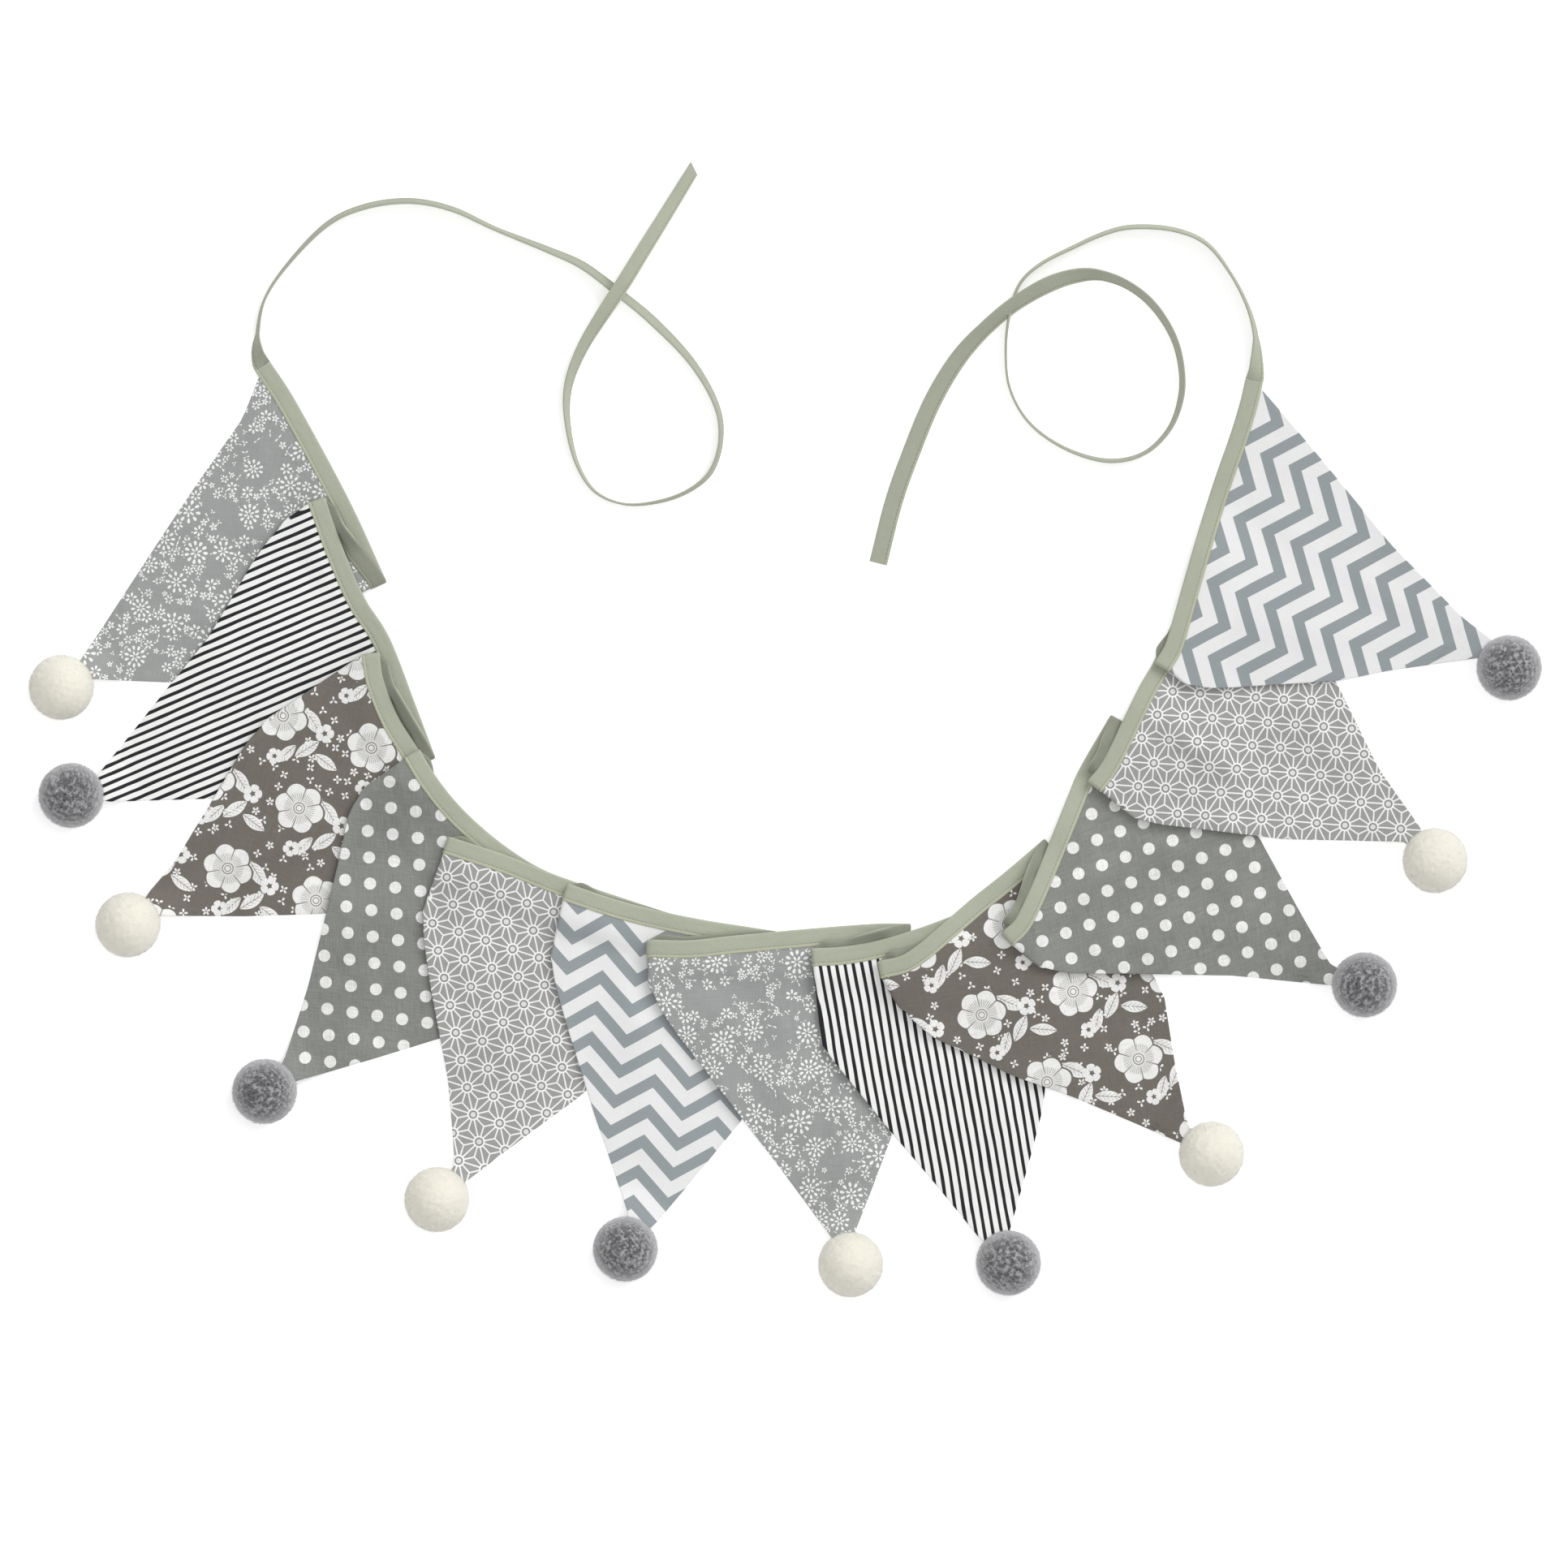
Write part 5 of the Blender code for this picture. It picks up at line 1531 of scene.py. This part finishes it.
def dots_print(graph, x, y, colours, lean):
    """Round dots in rows both ways, also where the rows are out of square."""
    across = 0.0153
    down = 0.0160
    radius = 0.0037
    ink = 0.88
    dx = (graph.fraction(x / across, start=0.25) - 0.5) * across
    dy = (graph.fraction(y / down, start=0.4) - 0.5) * down
    square = math.radians(90.0 + lean)
    reach = dx * dx + dy * dy - 2.0 * math.cos(square) * (dx * dy)
    dot = graph.inside(graph.math("SQRT", reach) / (radius * math.sin(square)), 1.0, 0.035)
    return graph.mix(dot * ink, colours.moss[:], colours.white[:])


def star_print(graph, x, y, colours):
    """Hemp-leaf stars: a net of triangles, each with three lines to its middle, and rings."""
    spacing = 0.0172
    line_half = 0.00045
    white_reach = 0.00315
    white_half = 0.00055
    clear_reach = 0.0030
    dark_reach = 0.0021
    dark_half = 0.00050
    heart_reach = 0.00165
    tall = spacing * math.sqrt(3) / 2
    shares = []
    for turn in (90.0, 210.0, 330.0):
        angle = math.radians(turn)
        shares.append(graph.fraction((x * math.cos(angle) + y * math.sin(angle)) / tall))
    upward = graph.over(shares[0] + shares[1] + shares[2], 1.5)
    a, b, c = [share + upward * (1.0 - 2.0 * share) for share in shares]
    least = graph.math("MINIMUM", a, graph.math("MINIMUM", b, c))
    most = graph.either(a, b, c)
    mid = 1.0 - least - most
    edge = least * tall
    spoke = (mid - least) * (tall / math.sqrt(3))
    line = graph.inside(graph.math("MINIMUM", edge, spoke), line_half, 0.00014)
    ring = graph.math("SQRT", mid * mid + least * least + mid * least) * spacing
    white_ring = graph.inside(abs(ring - white_reach), white_half, 0.00012)
    heart = graph.inside(ring, heart_reach, 0.00015)
    clear = graph.inside(ring, clear_reach, 0.0001)
    dark_ring = graph.inside(abs(ring - dark_reach), dark_half, 0.00015)
    mask = graph.either(line * (1.0 - clear), white_ring, heart * 0.72)
    ground = graph.mix(dark_ring * 0.45, colours.silver[:], DARK_RING)
    return graph.mix(mask, ground, colours.white[:])


def chevron_print(graph, x, y, colours):
    """Zigzag bands in turn."""
    half_wave = 0.0213
    rise = 0.0172
    pitch = 0.0190
    blue_share = 0.46
    zig = graph.math("PINGPONG", x + 10.0, half_wave) * (rise / half_wave)
    off = abs(graph.fraction((y + zig) / pitch) - 0.5)
    blue = graph.inside(off, blue_share / 2, 0.008)
    return graph.mix(blue, PALE_BAND, colours.dusk[:])


# The large floral's repeat, and a row for each leaf and blossom in it: its middle, its
# turn in degrees, and its half length and width or its radius
FLORAL_WIDE = 0.058
FLORAL_TALL = 0.050
Leaf = namedtuple("Leaf", "across down turn long wide")
LEAVES = [
    Leaf(0.0225, 0.009, 38, 0.0098, 0.0042),
    Leaf(0.0250, 0.026, -52, 0.0090, 0.0038),
    Leaf(0.0385, 0.030, 18, 0.0086, 0.0036),
    Leaf(0.0140, 0.033, 118, 0.0080, 0.0034),
]
Blossom = namedtuple("Blossom", "across down turn radius")
BLOSSOMS = [
    Blossom(0.0320, 0.0135, 20, 0.0058),
    Blossom(0.0075, 0.0370, 50, 0.0050),
]


def lattice(graph, x, y, across, down, turn):
    """Offsets from the nearest of a brick-like set of places, turned."""
    row = (y - down) / FLORAL_TALL
    shifted = (x - across) / FLORAL_WIDE + graph.math("FLOOR", row + FAR) * 0.5
    dx = (graph.fraction(shifted) - 0.5) * FLORAL_WIDE
    dy = (graph.fraction(row) - 0.5) * FLORAL_TALL
    angle = math.radians(turn)
    return (dx * math.cos(angle) + dy * math.sin(angle),
            dy * math.cos(angle) - dx * math.sin(angle))


def leaf_shape(graph, dx, dy, long, wide):
    """A pointed leaf with a vein and side veins, pointing along x."""
    vein_pitch = 0.0026
    vein_slope = 1.1
    out = dx / long
    body = wide * (1.0 - out * out)
    inside = graph.over(body - abs(dy), 0.0) * graph.inside(abs(out), 1.0, 0.02)
    vein = graph.inside(abs(dy), 0.00022, 0.00010)
    to_side_vein = abs(graph.fraction((dx - abs(dy) * vein_slope) / vein_pitch) - 0.5) * vein_pitch
    side_vein = (graph.inside(to_side_vein, 0.00016, 0.0001)
                 * graph.inside(abs(dy), wide * 0.62, 0.0003))
    return inside * (1.0 - graph.either(vein, side_vein) * 0.85)


def large_flower(graph, x, y):
    """A round flower of six lobes with fine lines in it, and where it takes the room."""
    parting_reach = 0.0122
    lobe_depth = 0.0030
    margin = 0.0012
    ray_count = 42.0
    ray_reach = 0.0068
    ray_half = 0.0026
    heart_reach = 0.0033
    seed_reach = 0.0018
    dx, dy = lattice(graph, x, y, 0.004, 0.012, 0)
    reach = graph.reach(dx, dy)
    angle = graph.math("ARCTAN2", dy, dx)
    lobe = abs(graph.math("COSINE", angle * 3.0))
    past_edge = reach - (parting_reach + lobe * lobe_depth)
    parting = graph.inside(lobe, 0.10, 0.05) * graph.step(0.0045, 0.0060, reach)
    rays = graph.step(0.2, 0.7, graph.math("SINE", angle * ray_count))
    rays = rays * graph.inside(abs(reach - ray_reach), ray_half, 0.0008)
    heart = graph.inside(abs(reach - heart_reach), 0.00035, 0.00015)
    seeds = graph.inside(abs(reach - seed_reach), 0.0003, 0.0002)
    lines = graph.either(parting, rays * 0.8, heart, seeds)
    flower = graph.inside(past_edge, 0.0, 0.0002) * (1.0 - lines * 0.85)
    return flower, graph.inside(past_edge, margin, 0.0002)


def floral_print(graph, x, y, colours):
    """Large round flowers with veined leaves, blossoms and small sprays between them."""
    ink = 0.93
    spray_cell = 0.0085
    spray_shift = 0.63
    spray_size = 0.0026
    white, taken = large_flower(graph, x, y)
    free = 1.0 - taken
    for leaf in LEAVES:
        dx, dy = lattice(graph, x, y, leaf.across, leaf.down, leaf.turn)
        white = graph.either(white, leaf_shape(graph, dx, dy, leaf.long, leaf.wide) * free)
    for blossom in BLOSSOMS:
        dx, dy = lattice(graph, x, y, blossom.across, blossom.down, blossom.turn)
        petal = petals(graph, dx, dy, 0.0, 5.0, blossom.radius, 0.42, inner=0.22, blur=0.05)
        white = graph.either(white, petal * free)
    dx, dy, (one, two, three), _ = scatter(graph, x, y, spray_cell, spray_shift)
    count = 3.0 + graph.math("FLOOR", two * 3.0)
    sprays = petals(graph, dx, dy, one * WHOLE_TURN, count, spray_size, 0.24, inner=0.15)
    white = graph.either(white, sprays * graph.over(three, 0.45) * free)
    return graph.mix(white * ink, colours.brown[:], colours.white[:])


PRINT_MAKERS = {
    "ditsy": ditsy_print,
    "stripe": stripe_print,
    "floral": floral_print,
    "dots": dots_print,
    "star": star_print,
    "chevron": chevron_print,
}


# How much the threads show through each print
THREAD_SHOW = {
    "ditsy": 0.30,
    "stripe": 0.08,
    "floral": 0.36,
    "dots": 0.55,
    "star": 0.22,
    "chevron": 0.08,
}


def printed_cotton(index, row, sizes, colours):
    """Printed cotton, whose print bows a little with the cloth."""
    bow = 0.0016
    bow_scale = 16.0
    graph = Graph(f"printed_{row.kind}_{index + 1:02d}", colours.white)
    x, y = graph.flat_places(row.turn, row.lean)
    bow_x = graph.noise(graph.vector(x, y, index * 3.1), bow_scale) - 0.5
    bow_y = graph.noise(graph.vector(y, x, index * 2.3 + 5.0), bow_scale) - 0.5
    place = (graph, x + bow_x * bow, y + bow_y * bow, colours)
    maker = PRINT_MAKERS[row.kind]
    base = maker(*place, row.lean) if row.lean else maker(*place)
    uneven = unevenness(graph, x, y, float(index), THREAD_SHOW[row.kind])
    threads = woven(graph, x, y, sizes.weave)
    # Random unevenness, and painted shade between the weave's raised threads
    base = graph.shade(base, uneven * (0.94 + threads * 0.10))
    height = threads * 0.36 + uneven * 1.1
    return graph.finish(base, height, depth=0.00016, sheen=0.12)


def sage_cotton(name, sizes, colours, inset, back_painted_shade):
    """Bias-cut cotton puckered along its stitches; painted shade on its back, seam and weave."""
    graph = Graph(name, colours.sage)
    along, across = graph.flat_places()
    x, y = graph.flat_places(turn=45.0)
    seam = TAPE_WIDTH / 2 - inset
    to_seam = abs(across - seam)
    near_seam = graph.inside(to_seam, 0.0006, 0.0009)
    under_thread = graph.inside(to_seam, 0.00025, 0.0002)
    lip = graph.step(seam + 0.0002, seam + 0.0008, across)
    pucker = graph.math("SINE", along * (2 * math.pi / sizes.stitch_pitch))
    dimple = near_seam * (0.75 + pucker * 0.25)
    wander = graph.noise(graph.vector(along, across * 2.0, 2.0), 120.0)
    uneven = unevenness(graph, x, y, 11.0, 0.10)
    threads = woven(graph, x, y, sizes.weave)
    base = graph.mix(lip * 0.35, colours.sage[:], PALE_LIP)
    # Painted shade in the seam's groove, under the thread
    base = graph.mix(under_thread * 0.35, base, SEAM_PAINTED_SHADE)
    # Painted shade on the tape's back, where it shows in the binding's turns and on the ties
    back_painted_shade_factor = 1.0 - graph.attribute("back") * back_painted_shade
    # Random unevenness, and painted shade between the weave's raised threads
    base = graph.shade(base, uneven * (0.96 + threads * 0.06) * back_painted_shade_factor)
    height = threads * 0.16 + uneven * 0.5 + wander * 2.4 - dimple * 0.4
    return graph.finish(base, height, depth=0.00020, roughness=0.86, sheen=0.10)


def thread_cotton(colours):
    """Twisted sewing thread of the tape's sage, painted darker for the shade in its dimples."""
    graph = Graph("sewing_thread_painted_dark", colours.thread_painted_dark)
    twist = graph.noise(graph.object_places(), 3000.0)
    base = graph.shade(colours.thread_painted_dark[:], 0.8 + twist * 0.4)
    return graph.finish(base, twist, depth=0.00008, roughness=0.7, sheen=0.2)


def yarn(name, tint, contrast, parting):
    """Fluffy yarn, with painted shade towards its roots and in the partings of the ball's upper
    side.

    contrast is that of its fine unevenness, and parting how strong its painted shade is.
    """
    fine_scale = 900.0
    speck_scale = 840.0
    upper_from = POMPOM_MIDDLE + 0.003
    upper_to = POMPOM_MIDDLE + 0.017
    # Painted shade at the roots: this much all over, and this much more on the upper side
    root_painted_shade = 0.30
    upper_root_painted_shade = 0.85
    graph = Graph(name, tint)
    places = graph.object_places()
    fine = graph.noise(places, fine_scale, detail=3.0)
    # Dark specks of painted shade, on the upper side only
    painted_speck_shade = graph.step(0.52, 0.66, graph.noise(places, speck_scale))
    height = graph.parts(places)[2]
    upper = graph.step(upper_from, upper_to, height)
    # Painted shade, darker where the pile is low: towards the roots and in the partings
    root = 1.0 - graph.step(0.05, 0.80, graph.attribute("pile"))
    shade = 1.0 + (fine - 0.5) * contrast
    shade = shade * (1.0 - root * (root_painted_shade + upper * upper_root_painted_shade) * parting)
    shade = shade * (1.0 - painted_speck_shade * upper * parting)
    return graph.finish(graph.shade(tint, shade), fine, depth=0.0002, roughness=0.95, sheen=0.4)


# ---------------------------------------------------------------- operators


def settings():
    """The sizes and colours that the panel shows."""
    return bpy.context.scene.bunting_sizes, bpy.context.scene.bunting_colours


class Laid:
    """The bunting's places, worked out once and shared by the operators."""

    bunting = None
    cloths = []
    frames = []

    @classmethod
    def work_out(cls, sizes):
        if cls.bunting:
            return
        bunting = Bunting()
        grid = sizes.cloth_grid
        cls.cloths = [PennantCloth(bunting, index, grid, sizes.cloth_thick).build()
                      for index in range(len(PENNANTS))]
        cls.frames = [bunting.level(bunting.runs[0], 0, 0.0)]
        for index, cloth in enumerate(cls.cloths):
            if index:
                cls.frames += cls.between(bunting, index - 1, grid)
            cls.frames += cloth.frames
        last = bunting.runs[-1]
        cls.frames.append(bunting.level(last, 2 * len(PENNANTS) - 2, last.length))
        cls.bunting = bunting

    @classmethod
    def between(cls, bunting, index, grid):
        """Frames on the way back, between the folded corners of two pennants."""
        back = bunting.returns[index]
        arc = math.pi * FOLD_RADIUS
        start = cls.cloths[index].over - arc - CORNER_CUT + FOLD_RADIUS
        end = back.length - (cls.cloths[index + 1].under - arc - CORNER_CUT + FOLD_RADIUS)
        count = max(1, round((end - start) / grid))
        stops = np.linspace(start, end, count + 1)[1:-1]
        return [bunting.level(back, 2 * index + 1, stop, flipped=True) for stop in stops]


class BUNTING_OT_stage(bpy.types.Operator):
    """Pale floor, soft light and a camera straight above"""

    bl_idname = "bunting.stage"
    bl_label = "Stage and camera"

    PIXEL = 0.0005                # of the photo, on the surface
    PHOTO_MIDDLE = (-0.00025, 0.0310)
    PHOTO_PIXELS = 1932
    LENS = 400.0
    SENSOR = 36.0
    FLOOR_SIZE = 9.0
    FLOOR_TONES = (0.93, 0.93, 0.93), (0.95, 0.95, 0.95)
    FLOOR_GLOW = 0.32
    KEY_FROM = (1.1, 1.2, 1.2)
    KEY_POWER = 1.5
    KEY_SPREAD = math.radians(34)
    OVERHEAD = (-0.05, 0.0, 1.7)
    OVERHEAD_POWER = 7.1
    OVERHEAD_SIZE = 1.0
    SKY_POWER = 0.60
    WHITE = (1.0, 1.0, 1.0, 1.0)

    def execute(self, context):
        self.add_floor(context)
        self.add_camera(context)
        self.add_lamps(context)
        context.scene.view_settings.view_transform = "Standard"
        return {"FINISHED"}

    def add_floor(self, context):
        deselect()
        bpy.ops.mesh.primitive_plane_add(size=self.FLOOR_SIZE, location=(0, 0, 0))
        floor = context.object
        floor.name = "floor"
        graph = Graph("pale_floor", (0.9, 0.9, 0.9))
        mottle = graph.noise(graph.object_places(), 3.0)
        graph.finish(graph.mix(mottle, *self.FLOOR_TONES), roughness=0.95)
        graph.shader.inputs["Emission Color"].default_value = self.WHITE
        graph.shader.inputs["Emission Strength"].default_value = self.FLOOR_GLOW
        floor.data.materials.append(graph.material)

    def add_camera(self, context):
        middle = in_row((*self.PHOTO_MIDDLE, 0.0))
        shown = self.PIXEL * self.PHOTO_PIXELS
        camera_data = bpy.data.cameras.new("camera")
        camera_data.lens = self.LENS
        camera_data.sensor_width = self.SENSOR
        camera = bpy.data.objects.new("camera", camera_data)
        camera.location = (middle[0], middle[1], shown * self.LENS / self.SENSOR)
        context.collection.objects.link(camera)
        context.scene.camera = camera

    def add_lamps(self, context):
        key = bpy.data.lights.new("key", "SUN")
        key.energy = self.KEY_POWER
        key.angle = self.KEY_SPREAD
        lamp = bpy.data.objects.new("key", key)
        lamp.rotation_euler = Vector(self.KEY_FROM).to_track_quat("Z", "Y").to_euler()
        context.collection.objects.link(lamp)
        overhead = bpy.data.lights.new("overhead", "AREA")
        overhead.energy = self.OVERHEAD_POWER
        overhead.size = self.OVERHEAD_SIZE
        lamp = bpy.data.objects.new("overhead", overhead)
        lamp.location = self.OVERHEAD
        context.collection.objects.link(lamp)
        world = bpy.data.worlds.new("studio")
        world.use_nodes = True
        background = world.node_tree.nodes["Background"]
        background.inputs["Color"].default_value = self.WHITE
        background.inputs["Strength"].default_value = self.SKY_POWER
        context.scene.world = world


class BUNTING_OT_ties(bpy.types.Operator):
    """The two free ties, each a folded tape with its line of stitches"""

    bl_idname = "bunting.ties"
    bl_label = "Ties"

    INSET = 0.0019
    LEFT_SLANT = 0.40             # the left tie's end is cut slanting
    BACK_PAINTED_SHADE = 0.10             # how much painted shade darkens the tape's back

    def execute(self, context):
        sizes, colours = settings()
        Laid.work_out(sizes)
        bunting = Laid.bunting
        first = bunting.runs[0]
        last = bunting.runs[-1]
        section = tape_section(TAPE_WIDTH, TIE_THICK, 0.0, 0.0, self.INSET)
        cotton_made = sage_cotton("sage_tie", sizes, colours, self.INSET, self.BACK_PAINTED_SHADE)
        thread = thread_cotton(colours)
        for name, points, start, outward, side, slant in (
                ("left", LEFT_TIE, Laid.frames[0], -first.heading(0.0), -1, self.LEFT_SLANT),
                ("right", RIGHT_TIE, Laid.frames[-1], last.heading(last.length), 1, 0.0)):
            frames, long = tie_frames(points, start, np.array((*outward, 0.0)), side,
                                      sizes.cloth_grid)
            tape = sweep(f"tie_tape_{name}", frames, section, cotton_made, slant)
            stitches = stitch_row(f"tie_stitches_{name}", frames, sizes, TIE_THICK, self.INSET,
                                  thread)
            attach(tape, "root")
            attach(stitches, "root")
            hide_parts(f"tie_{name}")
        return {"FINISHED"}


class BUNTING_OT_binding(bpy.types.Operator):
    """The folded bias binding along all pennants, and its stitches"""

    bl_idname = "bunting.binding"
    bl_label = "Binding"

    BACK_PAINTED_SHADE = 0.36             # how much painted shade darkens the tape's back

    def execute(self, context):
        sizes, colours = settings()
        Laid.work_out(sizes)
        section = tape_section(TAPE_WIDTH, TAPE_THICK, SLOT_DEPTH, SLOT_THICK,
                               sizes.stitch_inset)
        tape = sweep("binding_tape", Laid.frames, section,
                     sage_cotton("sage_tape", sizes, colours, sizes.stitch_inset,
                                 self.BACK_PAINTED_SHADE))
        stitches = stitch_row("binding_stitches", Laid.frames, sizes, TAPE_THICK,
                              sizes.stitch_inset, thread_cotton(colours))
        for piece in (tape, stitches):
            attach(piece, "root")
        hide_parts("binding")
        return {"FINISHED"}


class BUNTING_OT_pennants(bpy.types.Operator):
    """Twelve printed pennants"""

    bl_idname = "bunting.pennants"
    bl_label = "Pennants"

    def execute(self, context):
        sizes, colours = settings()
        Laid.work_out(sizes)
        for index, row in enumerate(PRINTS):
            label = f"{index + 1:02d}"
            cloth = Laid.cloths[index]
            material = printed_cotton(index, row, sizes, colours)
            piece = thick_cloth(f"cotton_{label}", cloth, material)
            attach(piece, "root")
            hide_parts(f"pennant_{label}")
            area = cloth.width * cloth.tall / 2
        return {"FINISHED"}


class BUNTING_OT_pompoms(bpy.types.Operator):
    """Twelve yarn pompoms, cream and pewter in turn"""

    bl_idname = "bunting.pompoms"
    bl_label = "Pompoms"

    # contrast is each yarn's random unevenness, and parting the strength of its painted shade
    CREAM_CONTRAST = 0.06
    CREAM_PAINTED_SHADE = 0.02
    PEWTER_CONTRAST = 0.95
    PEWTER_PAINTED_SHADE = 0.68

    def execute(self, context):
        sizes, colours = settings()
        strand = strand_shape(sizes.strand_thick)
        kinds = [yarn("cream_yarn", tuple(colours.cream), self.CREAM_CONTRAST,
                      self.CREAM_PAINTED_SHADE),
                 yarn("pewter_yarn", tuple(colours.pewter), self.PEWTER_CONTRAST,
                      self.PEWTER_PAINTED_SHADE)]
        for index, pennant in enumerate(PENNANTS):
            label = f"{index + 1:02d}"
            ball = make_pompom(f"yarn_ball_{label}", pennant.pompom, index, sizes, strand,
                               kinds[index % 2])
            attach(ball, "root")
            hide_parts(f"pompom_{label}")
        return {"FINISHED"}


class BUNTING_PT_panel(bpy.types.Panel):
    """Lists the bunting's pieces, sizes and colours"""

    bl_idname = "BUNTING_PT_panel"
    bl_label = "Fabric bunting"
    bl_space_type = "VIEW_3D"
    bl_region_type = "UI"
    bl_category = "Bunting"

    def draw(self, context):
        layout = self.layout
        for operator in OPERATORS:
            layout.operator(operator.bl_idname)
        for group in (context.scene.bunting_sizes, context.scene.bunting_colours):
            for key in group.bl_rna.properties.keys():
                if key not in ("rna_type", "name"):
                    layout.prop(group, key)


OPERATORS = (BUNTING_OT_stage, BUNTING_OT_ties, BUNTING_OT_binding, BUNTING_OT_pennants,
             BUNTING_OT_pompoms)
CLASSES = (BuntingSizes, BuntingColours, *OPERATORS, BUNTING_PT_panel)


def register():
    for kind in CLASSES:
        bpy.utils.register_class(kind)
    bpy.types.Scene.bunting_sizes = bpy.props.PointerProperty(type=BuntingSizes)
    bpy.types.Scene.bunting_colours = bpy.props.PointerProperty(type=BuntingColours)


def unregister():
    del bpy.types.Scene.bunting_sizes
    del bpy.types.Scene.bunting_colours
    for kind in reversed(CLASSES):
        bpy.utils.unregister_class(kind)


def main():
    register()
    bpy.ops.bunting.stage()
    bpy.ops.bunting.ties()
    bpy.ops.bunting.binding()
    bpy.ops.bunting.pennants()
    bpy.ops.bunting.pompoms()
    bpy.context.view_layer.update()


if __name__ == "__main__":
    main()
